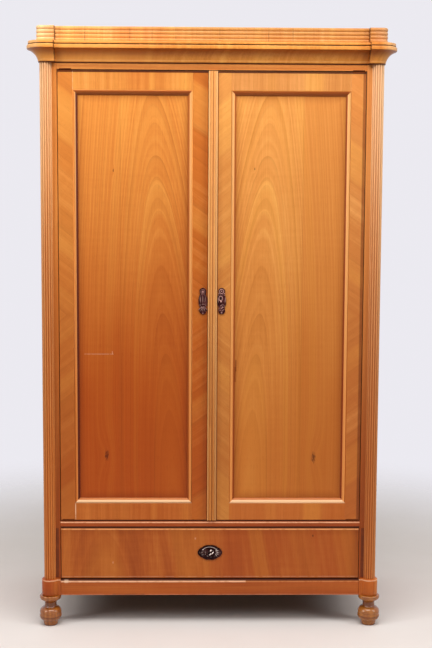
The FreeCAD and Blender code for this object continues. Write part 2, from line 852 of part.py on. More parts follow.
def make_door(side, name):
    outer, panel_far, panel_near, meeting = door_edges(side)
    thick = (zero, d.door_thickness)
    height = (door_low, door_high)
    groove_y = (d.door_panel_setback, groove_back)
    inward = -side

    stile = new_body(name + "_outer_stile_body")
    width = d.outer_stile_width
    notch = width - d.groove_depth
    arris = d.arris_rounding
    outline = [
        (zero, arris, arris * quarter_bow_share), (arris, zero), (width, zero), (width, groove_y[0]),
        (notch, groove_y[0]), (notch, groove_y[1]), (width, groove_y[1]), (width, d.door_thickness),
        (zero, d.door_thickness),
    ]
    if side > 0:
        outline = flipped(outline)
    pad(stile, name + "_outer_stile_pad", "XY_Plane", outline, d.door_height)
    place(stile, outer, zero, door_low)
    cuts = tenons(name + "_outer_mortise", panel_far, side)
    top_plate_z = (door_high - d.pivot_plate_thickness, door_high)
    bottom_plate_z = (door_low, door_low + d.pivot_plate_thickness)
    cuts.append(pivot_seat(name + "_top_seat", side, top_plate_z, door_high - d.pivot_pin_depth))
    cuts.append(pivot_seat(name + "_bottom_seat", side, bottom_plate_z, door_low))
    node(cut(name + "_outer_stile", stile, cuts), name + "_outer_stile")

    blank = box(name + "_meeting_blank", ordered(panel_near, meeting), thick, height)
    groove_x = ordered(panel_near, panel_near + d.groove_depth * inward)
    groove = box(name + "_meeting_groove", groove_x, groove_y, height)
    cuts = [groove] + tenons(name + "_meeting_mortise", panel_near, inward)
    if side > 0:
        cuts.append(key_hole(name + "_stile_key", door_key_x, door_key_z, thick))
    node(cut(name + "_meeting_stile", blank, cuts), name + "_meeting_stile")

    rail_x = ordered(panel_far, panel_near)
    low_rail = box(name + "_bottom_blank", rail_x, thick, (door_low, panel_low))
    low_groove = box(name + "_bottom_groove", rail_x, groove_y, (panel_low - d.groove_depth, panel_low))
    high_rail = box(name + "_top_blank", rail_x, thick, (panel_high, door_high))
    high_groove = box(name + "_top_groove", rail_x, groove_y, (panel_high, panel_high + d.groove_depth))
    outer_tenons = tenons(name + "_outer_tenon", panel_far, side)
    near_tenons = tenons(name + "_near_tenon", panel_near, inward)
    low_cut = cut(name + "_bottom_cut", low_rail, [low_groove])
    high_cut = cut(name + "_top_cut", high_rail, [high_groove])
    bottom = fused(name + "_bottom_rail", [low_cut, outer_tenons[0], near_tenons[0]])
    top = fused(name + "_top_rail", [high_cut, outer_tenons[1], near_tenons[1]])
    node(group(name + "_rails", [bottom, top]), name + "_rails")

    reach = d.groove_depth - d.panel_play
    panel_z = grown((panel_low, panel_high), reach)
    node(box(name + "_panel", grown(rail_x, reach), groove_y, panel_z), name + "_panel")
    node(group(name + "_moulding", bevel_strips(name, rail_x)), name + "_moulding")


def tenons(name, edge, direction):
    # The tenon, or its mortise, at the bottom and the top rail, from edge towards direction.
    x = ordered(edge, edge + d.tenon_length * direction)
    y = (d.door_panel_setback, groove_back)
    low = (door_low + d.tenon_shoulder, panel_low - d.groove_depth)
    high = (panel_high + d.groove_depth, door_high - d.tenon_shoulder)
    return [box(name + "_low", x, y, low), box(name + "_high", x, y, high)]


def bevel_strips(name, ends):
    # Four mitred strips that slope from the frame's edge down to the panel.
    width = ends[1] - ends[0]
    height = panel_high - panel_low
    depth = d.door_panel_setback
    strips = []
    corners = [("bottom", ends[0], panel_low, width), ("right", ends[1], panel_low, height),
               ("top", ends[1], panel_high, width), ("left", ends[0], panel_high, height)]
    upright = Rotation(Vector(1, 0, 0), quarter_turn)
    for i, (edge, x, z, length) in enumerate(corners):
        strip = doc.addObject("Part::Wedge", name + "_bevel_" + edge)
        for prop, value in (("Xmin", zero), ("Xmax", length), ("Zmin", -depth), ("Zmax", zero),
                            ("X2min", d.bevel_width), ("X2max", length - d.bevel_width),
                            ("Z2min", -depth), ("Z2max", d.bevel_edge - depth),
                            ("Ymin", zero), ("Ymax", d.bevel_width)):
            bind(strip, prop, value)
        turned = Rotation(Vector(0, 1, 0), -quarter_turn * i)
        strip.Placement.Rotation = turned.multiply(upright)
        strips.append(place(strip, x, zero, z))
    return strips


def pivot_seat(name, side, plate_z, hole_low):
    # Room for a door plate, and the blind hole past it for the end of the pin.
    plate = pivot_plate(name + "_plate", side, plate_z)
    centre_x = (door_outer - d.pivot_inset) * side
    hole = cylinder(name + "_hole", "z", (centre_x, d.pivot_inset, hole_low),
                    d.pivot_pin_radius + d.pin_hole_play, d.pivot_pin_depth)
    return fused(name, [plate, hole])


def key_hole(name, x, z, y):
    eye = cylinder(name + "_eye", "y", (x, y[0], z), d.key_hole_radius, y[1] - y[0])
    slot = box(name + "_slot", grown((x, x), d.key_slot_width / 2), y, (z - d.key_slot_drop, z))
    return fused(name, [eye, slot])


# The fluted strip that covers the meeting of the doors, glued to the right door.
def make_meeting_strip():
    body = new_body("meeting_strip_body")
    start = (d.strip_width, -d.strip_thickness)
    finish = (zero, -d.strip_thickness)
    edge = fluted_edge(finish, start, d.strip_arris_width, d.strip_flute_depth, strip_flute_count)
    outline = [(zero, zero), finish] + edge + [start, (d.strip_width, zero)]
    pad(body, "meeting_strip_pad", "XY_Plane", outline, d.door_height)
    place(body, -d.meeting_shift, zero, door_low)
    node(body, "meeting_strip")


# Knife hinges: a plate with a pin in each rail, and a plate with an eye in each end of a door.
def make_hinges():
    fixed = []
    thick = d.pivot_plate_thickness
    reach = d.pivot_pin_depth - d.mortise_play
    high_pin = d.door_gap_above + reach
    low_pin = d.door_gap_below + reach
    ends = (
        ("top", (frieze_low, frieze_low + thick), (door_high - thick, door_high),
         (frieze_low - high_pin, high_pin)),
        ("low", (cross_high - thick, cross_high), (door_low, door_low + thick), (cross_high, low_pin)),
    )
    for side, name in ((-1, "left"), (1, "right")):
        moving = []
        centre_x = (door_outer - d.pivot_inset) * side
        for end, fixed_z, moving_z, pin_run in ends:
            label = name + "_" + end
            plate = pivot_plate(label + "_fixed_plate", side, fixed_z)
            pin_start = (centre_x, d.pivot_inset, pin_run[0])
            pin = cylinder(label + "_pin", "z", pin_start, d.pivot_pin_radius, pin_run[1])
            fixed.append(fused(label + "_fixed_hinge", [plate, pin]))
            eye_plate = pivot_plate(label + "_moving_plate", side, moving_z)
            hole_start = (centre_x, d.pivot_inset, moving_z[0])
            hole = cylinder(label + "_eye_hole", "z", hole_start, d.pivot_pin_radius + d.pivot_play, thick)
            moving.append(cut(label + "_moving_hinge", eye_plate, [hole]))
        node(group(name + "_door_hinge_plates", moving), name + "_door_hinge_plates")
    node(group("case_hinge_plates", fixed), "case_hinge_plates")


# The right door's lock is screwed to the back of its meeting stile; its bolt passes behind the left door.
def make_door_lock():
    play = d.lock_play
    middle = door_key_z - d.key_slot_drop / 2
    x = (d.lock_wall - d.meeting_shift, d.lock_wall + d.lock_width - d.meeting_shift)
    y = (d.door_thickness, d.door_thickness + d.lock_thickness)
    shell = box("door_lock_shell", x, y, grown((middle, middle), d.lock_height / 2))
    bolt_z = grown((middle, middle), d.lock_bolt_width / 2)
    channel_x = (x[0], x[1] - d.lock_wall)
    channel = box("door_lock_channel", channel_x, grown(lock_bolt_y, play), grown(bolt_z, play))
    key = key_hole("door_lock_key", door_key_x, door_key_z, (y[0], lock_bolt_y[0]))
    node(cut("door_lock", shell, [fused("door_lock_room", [channel, key])]), "door_lock")
    bolt_x = (x[0] + play, x[0] + play + d.lock_bolt_length)
    node(box("door_lock_bolt", bolt_x, lock_bolt_y, bolt_z), "door_lock_bolt")


def make_drawer_lock():
    play = d.lock_play
    middle = d.drawer_key_offset
    y = (d.drawer_front_thickness, d.drawer_front_thickness + d.lock_thickness)
    z = (drawer_high - d.drawer_lock_height, drawer_high)
    shell = box("drawer_lock_shell", grown((middle, middle), d.lock_width / 2), y, z)
    channel_z = (z[0] + d.lock_wall, z[1])
    channel = box("drawer_lock_channel", grown(drawer_bolt_x, play), grown(drawer_bolt_y, play), channel_z)
    key = key_hole("drawer_lock_key", middle, drawer_key_z, (y[0], drawer_bolt_y[0]))
    node(cut("drawer_lock", shell, [fused("drawer_lock_room", [channel, key])]), "drawer_lock")
    top = drawer_high - d.bolt_setback
    bolt_z = (top - d.drawer_bolt_length, top)
    node(box("drawer_lock_bolt", drawer_bolt_x, drawer_bolt_y, bolt_z), "drawer_lock_bolt")


# Slide bolts at the top and bottom of the left door's meeting stile hold it shut.
def make_slide_bolts():
    play = d.lock_play
    plates = []
    plate_x = grown((slide_bolt_middle, slide_bolt_middle), d.slide_plate_width / 2)
    plate_y = (d.door_thickness, d.door_thickness + d.slide_plate_thickness)
    room_x = grown(slide_bolt_x, play)
    room_y = (plate_y[1], slide_bolt_y[1] + play)
    guide_x = grown(room_x, d.slide_guide_wall)
    guide_y = (plate_y[0], room_y[1] + d.slide_guide_wall / 2)
    guide_shares = (0, 0.45)
    ends = (
        (1, "top_slide", "left_door_top_bolt", door_high - d.bolt_setback),
        (-1, "low_slide", "left_door_bottom_bolt", door_low + d.bolt_setback),
    )
    for end, name, label, tip in ends:
        near = tip - d.slide_plate_thickness * end
        far = near - d.slide_plate_length * end
        pieces = [box(name + "_plate", plate_x, plate_y, ordered(near, far))]
        rooms = []
        for i, share in enumerate(guide_shares):
            start = near - d.slide_plate_length * share * end
            guide_z = ordered(start, start - d.slide_guide_height * end)
            pieces.append(box(name + "_guide_" + str(i + 1), guide_x, guide_y, guide_z))
            rooms.append(box(name + "_room_" + str(i + 1), room_x, room_y, guide_z))
        plates.append(cut(name + "_plates", fused(name + "_blank", pieces), rooms))
        tail = tip - d.slide_bolt_length * end
        bar = box(name + "_bar", slide_bolt_x, slide_bolt_y, ordered(tip, tail))
        knob_start = (slide_bolt_middle, slide_bolt_y[1], tail + d.slide_bolt_travel * end)
        knob = cylinder(name + "_knob", "y", knob_start, d.slide_knob_radius, d.slide_knob_length)
        node(fused(label, [bar, knob]), label)
    node(group("left_door_bolt_plates", plates), "left_door_bolt_plates")


# Drawer: a veneered front, grooved sides, a back and a bottom that slides in from behind.
def make_drawer():
    side_outer = door_outer - d.drawer_side_play
    side_near = side_outer - d.drawer_side_thickness
    front_y = (zero, d.drawer_front_thickness)
    run = (d.drawer_front_thickness, drawer_depth)
    bottom_low = drawer_low + d.drawer_bottom_rise
    bottom_z = (bottom_low, bottom_low + d.drawer_bottom_thickness)
    side_z = (drawer_low, drawer_low + d.drawer_side_height)
    groove = d.drawer_side_thickness / 2
    inside = (-side_near, side_near)
    front = box("drawer_front_blank", (-door_outer, door_outer), front_y, (drawer_low, drawer_high))
    key = key_hole("drawer_front_key", d.drawer_key_offset, drawer_key_z, front_y)
    front_groove = box("drawer_front_groove", inside, (front_y[1] - groove, front_y[1]), bottom_z)
    node(cut("drawer_front", front, [key, front_groove]), "drawer_front")
    sides = []
    for side, name in ((-1, "drawer_left_side"), (1, "drawer_right_side")):
        blank = box(name + "_blank", across(side, side_near, side_outer), run, side_z)
        slot = box(name + "_groove", across(side, side_near, side_near + groove), run, bottom_z)
        sides.append(cut(name, blank, [slot]))
    node(group("drawer_sides", sides), "drawer_sides")
    back_y = (drawer_depth - d.drawer_side_thickness, drawer_depth)
    node(box("drawer_back", inside, back_y, (bottom_z[1], side_z[1])), "drawer_back")
    slab = box("drawer_bottom_slab", grown(inside, groove - d.board_play), run, bottom_z)
    tongue = box("drawer_bottom_tongue", inside, (front_y[1] - groove + d.board_play, front_y[1]), bottom_z)
    node(fused("drawer_bottom", [slab, tongue]), "drawer_bottom")


def bowed_outline(quarter, bow):
    # The points of one quarter, from the bottom to the right, carried round all four quarters.
    right = quarter + [(u, -v) for u, v in reversed(quarter[1:-1])]
    points = right + [(-u, -v) for u, v in right]
    return [(u, v, bow) for u, v in points]


# Bronze escutcheons: tall scrolled plates on the doors, a wide oval on the drawer.
def make_escutcheons():
    half = d.door_escutcheon_width / 2
    tall = d.door_escutcheon_height / 2
    head_width_share = 0.7
    head_height_share = 0.86
    waist_width_share = 0.62
    waist_height_share = 0.52
    bow_share = 0.05
    head = (half * head_width_share, tall * -head_height_share)
    waist = (half * waist_width_share, tall * -waist_height_share)
    outline = bowed_outline([(zero, -tall), head, waist, (half, zero)], d.door_escutcheon_width * bow_share)
    level = door_key_z - d.door_escutcheon_drop
    centres = {"left_door_escutcheon": left_escutcheon_x, "right_door_escutcheon": right_escutcheon_x}
    for name, x in centres.items():
        body = new_body(name + "_body")
        pad(body, name + "_pad", "XZ_Plane", outline, d.escutcheon_thickness)
        place(body, x, zero, level)
        plate = body
        if name == "right_door_escutcheon":
            key = key_hole(name + "_key", door_key_x, door_key_z, (-d.escutcheon_thickness, zero))
            plate = cut(name, body, [key])
        node(plate, name)
    wide = d.drawer_escutcheon_width / 2
    high = d.drawer_escutcheon_height / 2
    shoulder_width_share = 0.62
    shoulder_height_share = 0.72
    shoulder = (wide * shoulder_width_share, high * -shoulder_height_share)
    oval_bow_share = 0.042
    oval = bowed_outline([(zero, -high), shoulder, (wide, zero)], d.drawer_escutcheon_width * oval_bow_share)
    body = new_body("drawer_escutcheon_body")
    pad(body, "drawer_escutcheon_pad", "XZ_Plane", oval, d.escutcheon_thickness)
    place(body, d.drawer_escutcheon_offset, zero, drawer_key_z + d.drawer_escutcheon_rise)
    key_y = (-d.escutcheon_thickness, zero)
    key = key_hole("drawer_escutcheon_key", d.drawer_key_offset, drawer_key_z, key_y)
    node(cut("drawer_escutcheon", body, [key]), "drawer_escutcheon")


make_posts()
make_sides()
make_front_rails()
make_columns()
make_plinth()
make_feet()
make_boards()
make_inside_fittings()
make_runners()
make_cornice()
make_gallery()
make_door(-1, "left_door")
make_door(1, "right_door")
make_meeting_strip()
make_hinges()
make_door_lock()
make_drawer_lock()
make_slide_bolts()
make_drawer()
make_escutcheons()
doc.recompute()

faults = [thing.Name for thing in doc.Objects if "Invalid" in thing.State or "Error" in thing.State]
faults += [thing.Label for thing in nodes if thing.Shape.isNull() or not thing.Shape.isValid()]
if faults:
    raise RuntimeError("not built: " + ", ".join(faults))

os.makedirs("parts", exist_ok=True)
for thing in nodes:
    thing.Shape.exportStep("parts/" + thing.Label + ".step")
    print(thing.Label, len(thing.Shape.Solids), round(thing.Shape.Volume))
print(len(nodes), "nodes")
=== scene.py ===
import json
from math import cos, radians, sin
import bmesh
import bpy
from mathutils import Matrix, Vector

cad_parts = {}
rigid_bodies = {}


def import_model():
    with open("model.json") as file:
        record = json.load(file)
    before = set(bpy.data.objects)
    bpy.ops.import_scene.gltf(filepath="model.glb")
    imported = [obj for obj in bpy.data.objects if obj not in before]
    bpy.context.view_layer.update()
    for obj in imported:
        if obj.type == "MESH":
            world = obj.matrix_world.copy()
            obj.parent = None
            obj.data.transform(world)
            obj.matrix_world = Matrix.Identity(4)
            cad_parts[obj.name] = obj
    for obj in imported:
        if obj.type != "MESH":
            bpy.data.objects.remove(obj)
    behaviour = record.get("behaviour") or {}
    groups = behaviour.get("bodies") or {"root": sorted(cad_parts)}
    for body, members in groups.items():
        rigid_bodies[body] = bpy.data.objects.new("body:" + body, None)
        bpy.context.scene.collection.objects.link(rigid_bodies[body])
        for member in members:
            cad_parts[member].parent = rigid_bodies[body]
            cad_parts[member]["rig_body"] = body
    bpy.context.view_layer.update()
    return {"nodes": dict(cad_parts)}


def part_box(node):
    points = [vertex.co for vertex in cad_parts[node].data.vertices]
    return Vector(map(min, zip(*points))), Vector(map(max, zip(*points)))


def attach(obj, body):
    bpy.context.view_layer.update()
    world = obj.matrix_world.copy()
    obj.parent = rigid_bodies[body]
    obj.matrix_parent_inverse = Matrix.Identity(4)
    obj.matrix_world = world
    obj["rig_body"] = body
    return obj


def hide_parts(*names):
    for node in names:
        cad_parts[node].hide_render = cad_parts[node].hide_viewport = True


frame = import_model()
bodyOf = {name: node["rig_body"] for name, node in frame["nodes"].items()}
panelSunk = 0.011  # how far the panels lie behind the faces of the doors
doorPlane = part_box("left_door_panel")[0].y - panelSunk  # y of the door faces
intoScene = bpy.context.scene.collection.objects.link
print("frame loaded:", len(bodyOf), "pieces")

work = {"tree": None}  # the material or world that new nodes go into


# short ways to put shader nodes together
def wire(node, inputs):
    # inputs by name or in order, each a plain value or another node's output
    for key, value in inputs.items() if isinstance(inputs, dict) else enumerate(inputs):
        if isinstance(value, bpy.types.NodeSocket):
            work["tree"].links.new(value, node.inputs[key])
        else:
            node.inputs[key].default_value = value


def addNode(kind, inputs=(), **settings):
    made = work["tree"].nodes.new("ShaderNode" + kind)
    for key, value in settings.items():
        setattr(made, key, value)
    wire(made, inputs)
    return made


def calc(operation, *values, clamp=False):
    return addNode("Math", values, operation=operation, use_clamp=clamp).outputs[0]


def plus(first, second, clamp=False):
    return calc("ADD", first, second, clamp=clamp)


def minus(first, second):
    return calc("SUBTRACT", first, second)


def times(first, second, clamp=False):
    return calc("MULTIPLY", first, second, clamp=clamp)


def squareSum(first, second):
    return plus(times(first, first), times(second, second))


def splitAxes(place):
    return addNode("SeparateXYZ", [place]).outputs[:3]


def joinAxes(*parts):
    return addNode("CombineXYZ", parts).outputs[0]


def remap(value, fromLow, fromHigh, toLow=0.0, toHigh=1.0):
    return addNode("MapRange", (value, fromLow, fromHigh, toLow, toHigh),
                   interpolation_type="SMOOTHSTEP").outputs[0]


def near(value, centre, half, soft):
    # 1 within half of centre, fading out over soft
    return remap(calc("ABSOLUTE", minus(value, centre)), half + soft, half)


def blendColour(amount, first, second, mode="MIX"):
    return addNode("Mix", {0: amount, 6: first, 7: second}, data_type="RGBA", blend_type=mode).outputs[2]


def tinted(colour, mask, amount, tint):
    return blendColour(times(mask, amount), colour, tint)


def deepened(colour, tint):
    return blendColour(1.0, colour, tint, "MULTIPLY")


def objectPlace():
    return addNode("TexCoord").outputs["Object"]


def stretched(coords, scale, detail=2.0, size=1.0):
    # noise drawn out along the grain
    mapping = addNode("Mapping", {"Vector": coords, "Scale": scale})
    return addNode("TexNoise", {"Vector": mapping.outputs[0], "Scale": size, "Detail": detail}).outputs[0]


def ringNoise(value, detail):
    return addNode("TexNoise", {"W": value, "Scale": 1.0, "Detail": detail}, noise_dimensions="1D").outputs[0]


def swing(noise, depth):
    # noise lies about 0.5; this lies about 0 and covers depth
    return times(minus(noise, 0.5), depth)


def rgb(red, green, blue):
    # from the 0 to 255 values a picture shows
    linear = (((c / 255 + 0.055) / 1.055) ** 2.4 if c > 10 else c / 255 / 12.92 for c in (red, green, blue))
    return (*linear, 1.0)


def freshMaterial(name):
    material = bpy.data.materials.new(name)
    material.use_nodes = True
    work["tree"] = material.node_tree
    material.node_tree.nodes.clear()
    shader = addNode("BsdfPrincipled")
    addNode("OutputMaterial", {"Surface": shader.outputs[0]})
    return material, shader


def bumped(height, strength, distance):
    return addNode("Bump", {"Strength": strength, "Distance": distance, "Height": height}).outputs[0]


# the turn in degrees that lays the grain upright, for wood that runs along each axis
runTurns = {"Z": (0, 0, 0), "X": (0, -90, 0), "Y": (90, 0, 0), "side": (0, 0, -90)}

cherry = {
    "pale": rgb(240, 164, 84),
    "mid": rgb(218, 138, 62),
    "deep": rgb(192, 108, 42),
    "line": rgb(150, 74, 20),
    "warm": rgb(200, 104, 38),
    "gold": rgb(246, 178, 84),
    "lowTint": (0.72, 0.52, 0.44),  # painted shade: darker and redder towards the floor, where less light falls
    "lowFrom": (1.85, 0.45),
    "run": "Z",
    "tilt": None,
    "flip": 1.0,  # -1 for a mirrored leaf
    "chevronHeight": None,
    "foldSides": False,
    "boards": None,  # axis, start and width, for a row of boards
    "heart": (0.9, 0.5),  # where the middle of the tree lies, across and through the leaf
    "taper": 0.0,
    "lean": 0.0,
    "climb": None,
    "spacing": 0.011,
    "wander": 0.012,
    "wanderScale": 2.2,
    "ringDepth": 0.45,
    "lineDepth": 0.35,
    "fibreDepth": 0.3,
    "poreDepth": 0.3,
    "streakDepth": 0.3,
    "rippleDepth": 0.1,
    "figureDepth": 0.35,
    "figureScale": (7.0, 7.0, 1.6),
    "roughness": 0.36,
    "shine": 0.16,
    "coat": 0.06,
    "coatRoughness": 0.16,
    "grainHeight": 0.00016,
    "seam": None,  # where a redder leaf begins, and how strong it is
    "knots": (),  # across, along and size of each
    "marks": (),  # axis, place, half width, start, end, tint, strength and raggedness of each
    "grime": (),  # bands of painted light and shade, as below
    # painted shade is multiplied by the first tint below, painted highlight is mixed towards the second
    "grimeTint": (0.2, 0.08, 0.04, 1.0),
    "rubTint": rgb(246, 184, 118),
}
grainLook = {
    "fibre": ((230.0, 230.0, 4.5), 3.0),  # noise scales per metre across, through and along the grain; detail
    "pores": ((1500.0, 1500.0, 34.0), 1.0),
    "ripple": ((11.0, 11.0, 85.0), 2.0),
    "warmPatch": ((3.1, 3.1, 0.9), 1.0),
    "faintPatch": ((6.0, 6.0, 2.0), 2.0),
    "wander": (1.0, 1.0, 0.35),
    "poreEdge": (0.62, 0.72),  # noise levels between which each one fades in
    "warmEdge": (0.42, 0.66),
    "faintEdge": (0.36, 0.62, 0.25, 1.0),
    "leanFrom": 1.67,
    "seamEdge": (-0.002, 0.004),
    "boardShift": (0.83, 0.61, 0.71),
    "boardJoint": (0.0016, 0.0006),
    "seamLine": (0.0006, 0.0016),
    "fibreHeight": 0.6,
    "poreHeight": -0.8,
    "lineHeight": -0.35,
    "warmDepth": 0.5,
    "seamDepth": 0.25,
    "jointDepth": 0.8,
    "bump": 0.5,
    "unevenGloss": 0.12,
}
ringLook = {
    "linesPerRing": 0.55,
    "lineStray": 1.3,
    "lineSharpness": 3.5,
    "unevenScale": 0.23,
    "unevenEdge": (0.34, 0.66, 0.1, 1.25),
    "streakScale": 0.17,
    "streakStart": 31.7,
    "streakEdge": (0.5, 0.68),
}
knotLook = {
    "length": 2.6,  # times its width
    "reach": -0.12,
    "falloff": 2.718,
    "swell": 2.2,
    "ragged": ((1.0, 1.0, 0.5), 3.0, 260.0),  # noise scales, detail and size
    "raggedDepth": 1.6,
    "edge": (0.75, -0.1),
    "tone": rgb(96, 46, 22),
    "depth": 0.8,
}
markLook = {
    "size": 70.0,
    "stray": 0.0016,
    "patchy": (0.36, 0.52, 0.25, 1.0),
    "endSoft": 0.003,
    "sideSoft": 0.7,
}
# the panel openings of the doors, from the middle line outwards
openingLook = {"inner": 0.063, "outer": 0.457, "low": 0.422, "high": 1.7985}
columnLook = {"x": 0.5435, "y": -0.23175, "arris": 0.0003}
# the tint of painted shade in narrow gaps
gapTint = (0.08, 0.02, 0.006, 1.0)
crackTint = rgb(52, 24, 12)
paleTint = rgb(246, 214, 182)


def band(axis, start, end, amount, tint=None, stop=None):
    # a band of painted light or shade: none at start, all of it from end on, none again beyond stop; start
    # may be the larger one. Amounts below 0 are painted highlight, the others are painted shade. Places are
    # in metres
    return axis, start, end, amount, tint, stop


# painted shade on the faces inside the gaps round the doors, a little behind the door faces
gapGrime = band("Y", doorPlane + 0.0125, doorPlane + 0.006, 0.92, gapTint, stop=doorPlane + 0.0016)


def bandMask(world, axis, start, end, stop):
    if axis == "opening":  # how far inside the edge of a door's panel opening
        sideways = calc("ABSOLUTE", world[0])
        sides = calc("MINIMUM", minus(sideways, openingLook["inner"]), minus(openingLook["outer"], sideways))
        ends = calc("MINIMUM", minus(world[2], openingLook["low"]), minus(openingLook["high"], world[2]))
        place = calc("MINIMUM", sides, ends)
    elif axis == "column":  # how far from the middle of its column
        acrossAxis = minus(calc("ABSOLUTE", world[0]), columnLook["x"])
        place = calc("SQRT", squareSum(acrossAxis, minus(world[1], columnLook["y"])))
    else:
        place = world["XYZ".index(axis)]
    mask = remap(place, start, end)
    if stop is not None:
        mask = times(mask, calc("LESS_THAN" if end > start else "GREATER_THAN", place, stop))
    return mask


def grainPlace(look, place):
    # where each point lies in the log that its leaf or board was cut from, and the joints between boards
    joint = None
    if look["foldSides"]:  # both sides of the case get the same figure
        x, y, z = splitAxes(place)
        place = joinAxes(calc("ABSOLUTE", x), y, z)
    if look["boards"]:  # each board is cut from another place in the log
        boardAxis, boardStart, boardWidth = look["boards"]
        parts = splitAxes(place)
        step = calc("DIVIDE", minus(parts["XY".index(boardAxis)], boardStart), boardWidth)
        count = calc("FLOOR", step)
        rest = calc("FRACT", step)
        edgeGap = times(calc("MINIMUM", rest, minus(1.0, rest)), boardWidth)
        joint = remap(edgeGap, *grainLook["boardJoint"])
        shifts = grainLook["boardShift"]
        place = joinAxes(*(plus(part, times(count, shift)) for part, shift in zip(parts, shifts)))
    if look["chevronHeight"] is not None:  # grain folded about one height, as a chevron
        x, y, z = splitAxes(place)
        place = joinAxes(x, y, calc("ABSOLUTE", minus(z, look["chevronHeight"])))
    turn = runTurns[look["run"]] if look["tilt"] is None else (0, -look["tilt"], 0)
    turned = {"Vector": place, "Rotation": [radians(a) for a in turn], "Scale": (look["flip"], 1.0, 1.0)}
    return addNode("Mapping", turned).outputs[0], joint


def growthRings(look, coords):
    # the count of rings from the heart, bent round the knots, and how dark the knots are
    across, depth, along = splitAxes(coords)
    bulge = knotDark = 0.0
    for x, z, size in look["knots"]:
        offX = calc("DIVIDE", minus(across, x), size)
        offZ = calc("DIVIDE", minus(along, z), size * knotLook["length"])
        squared = squareSum(offX, offZ)
        ease = calc("POWER", knotLook["falloff"], times(squared, knotLook["reach"]))
        bulge = plus(bulge, times(ease, size * knotLook["swell"]))
        squared = plus(squared, swing(stretched(coords, *knotLook["ragged"]), knotLook["raggedDepth"]))
        knotDark = calc("MAXIMUM", knotDark, remap(squared, *knotLook["edge"]))
    wander = swing(stretched(coords, grainLook["wander"], 3.0, look["wanderScale"]), look["wander"] * 4)
    lean = times(minus(along, grainLook["leanFrom"]), look["lean"])
    offX = minus(minus(across, look["heart"][0]), lean)
    radius = calc("SQRT", squareSum(offX, minus(depth, look["heart"][1])))
    rise = times(along, look["taper"])
    if look["climb"]:
        rise = plus(rise, times(times(along, along), look["climb"]))
    field = plus(plus(plus(radius, rise), wander), bulge)
    return calc("DIVIDE", field, look["spacing"]), across, knotDark


def woodFinish(name, **changes):
    look = dict(cherry, **changes)
    material, shader = freshMaterial(name)
    place = objectPlace()
    world = splitAxes(place)
    coords, joint = grainPlace(look, place)
    field, across, knotDark = growthRings(look, coords)
    rings = ringNoise(field, 3.0)
    saw = plus(times(field, ringLook["linesPerRing"]), times(rings, ringLook["lineStray"]))
    late = calc("POWER", calc("FRACT", saw), ringLook["lineSharpness"])
    uneven = ringNoise(times(field, ringLook["unevenScale"]), 1.0)
    late = times(late, remap(uneven, *ringLook["unevenEdge"]))
    streak = ringNoise(plus(times(field, ringLook["streakScale"]), ringLook["streakStart"]), 2.0)
    streak = remap(streak, *ringLook["streakEdge"])
    fibre = stretched(coords, *grainLook["fibre"])
    figure = stretched(coords, look["figureScale"])
    ripple = stretched(coords, *grainLook["ripple"])
    pores = remap(stretched(coords, *grainLook["pores"]), *grainLook["poreEdge"])

    tone = swing(rings, look["ringDepth"] * 2)
    for noise, depth in ((fibre, "fibreDepth"), (figure, "figureDepth"), (ripple, "rippleDepth")):
        tone = plus(tone, swing(noise, look[depth] * 2))
    ramp = addNode("ValToRGB", [plus(tone, 0.5, clamp=True)])
    stops = ramp.color_ramp.elements
    stops[0].color, stops[1].color = look["deep"], look["pale"]
    stops.new(0.5).color = look["mid"]
    warmth = remap(stretched(coords, *grainLook["warmPatch"]), *grainLook["warmEdge"])
    colour = tinted(ramp.outputs[0], warmth, grainLook["warmDepth"], look["warm"])
    colour = tinted(colour, streak, look["streakDepth"], look["gold"])
    faint = remap(stretched(coords, *grainLook["faintPatch"]), *grainLook["faintEdge"])
    colour = tinted(colour, times(late, faint), look["lineDepth"], look["line"])
    colour = tinted(colour, pores, look["poreDepth"], look["line"])
    if look["seam"]:  # a leaf of redder veneer beyond this line
        where, amount = look["seam"]
        beyond = remap(across, *(where + edge for edge in grainLook["seamEdge"]))
        colour = tinted(colour, beyond, amount, look["warm"])
        seamLine = near(across, where, *grainLook["seamLine"])
        colour = tinted(colour, seamLine, grainLook["seamDepth"], look["line"])
    if look["knots"]:
        colour = tinted(colour, knotDark, knotLook["depth"], knotLook["tone"])
    for axis, start, end, amount, tint, stop in look["grime"]:  # painted highlight where it stands out
        if amount < 0:
            colour = tinted(colour, bandMask(world, axis, start, end, stop), -amount, tint or look["rubTint"])
    # painted shade: darker and redder towards the floor
    low = remap(world[2], *look["lowFrom"])
    colour = blendColour(low, colour, deepened(colour, (*look["lowTint"], 1.0)))
    for axis, start, end, amount, tint, stop in look["grime"]:  # painted shade in narrow gaps and hollows
        if amount > 0:
            colour = tinted(colour, bandMask(world, axis, start, end, stop), amount,
                            deepened(colour, tint or look["grimeTint"]))
    if joint:
        colour = tinted(colour, joint, grainLook["jointDepth"], crackTint)
    if look["marks"]:
        worn = stretched(place, (1.0, 1.0, 1.0), 2.0, markLook["size"])
        stray = swing(worn, markLook["stray"])
        patchy = remap(worn, *markLook["patchy"])
    for axis, centre, half, start, end, tint, amount, ragged in look["marks"]:  # cracks, scratches and chips, and lines of painted highlight and shade
        cross = plus(world["XYZ".index(axis)], times(stray, ragged))
        along = world[0 if axis == "Z" else 2]
        reach = near(along, (start + end) / 2, (end - start) / 2, markLook["endSoft"])
        mark = times(near(cross, centre, half, half * markLook["sideSoft"]), reach)
        shown = plus(times(patchy, ragged), 1.0 - ragged)
        colour = blendColour(times(times(mark, shown), amount, clamp=True), colour, tint)

    height = plus(times(fibre, grainLook["fibreHeight"]), times(pores, grainLook["poreHeight"]))
    height = plus(height, times(late, grainLook["lineHeight"]))
    wire(shader, {
        "Base Color": colour,
        "Roughness": plus(swing(figure, grainLook["unevenGloss"]), look["roughness"]),
        "Specular IOR Level": look["shine"],
        "Coat Weight": look["coat"],
        "Coat Roughness": look["coatRoughness"],
        "Normal": bumped(height, grainLook["bump"], look["grainHeight"]),
    })
    return material


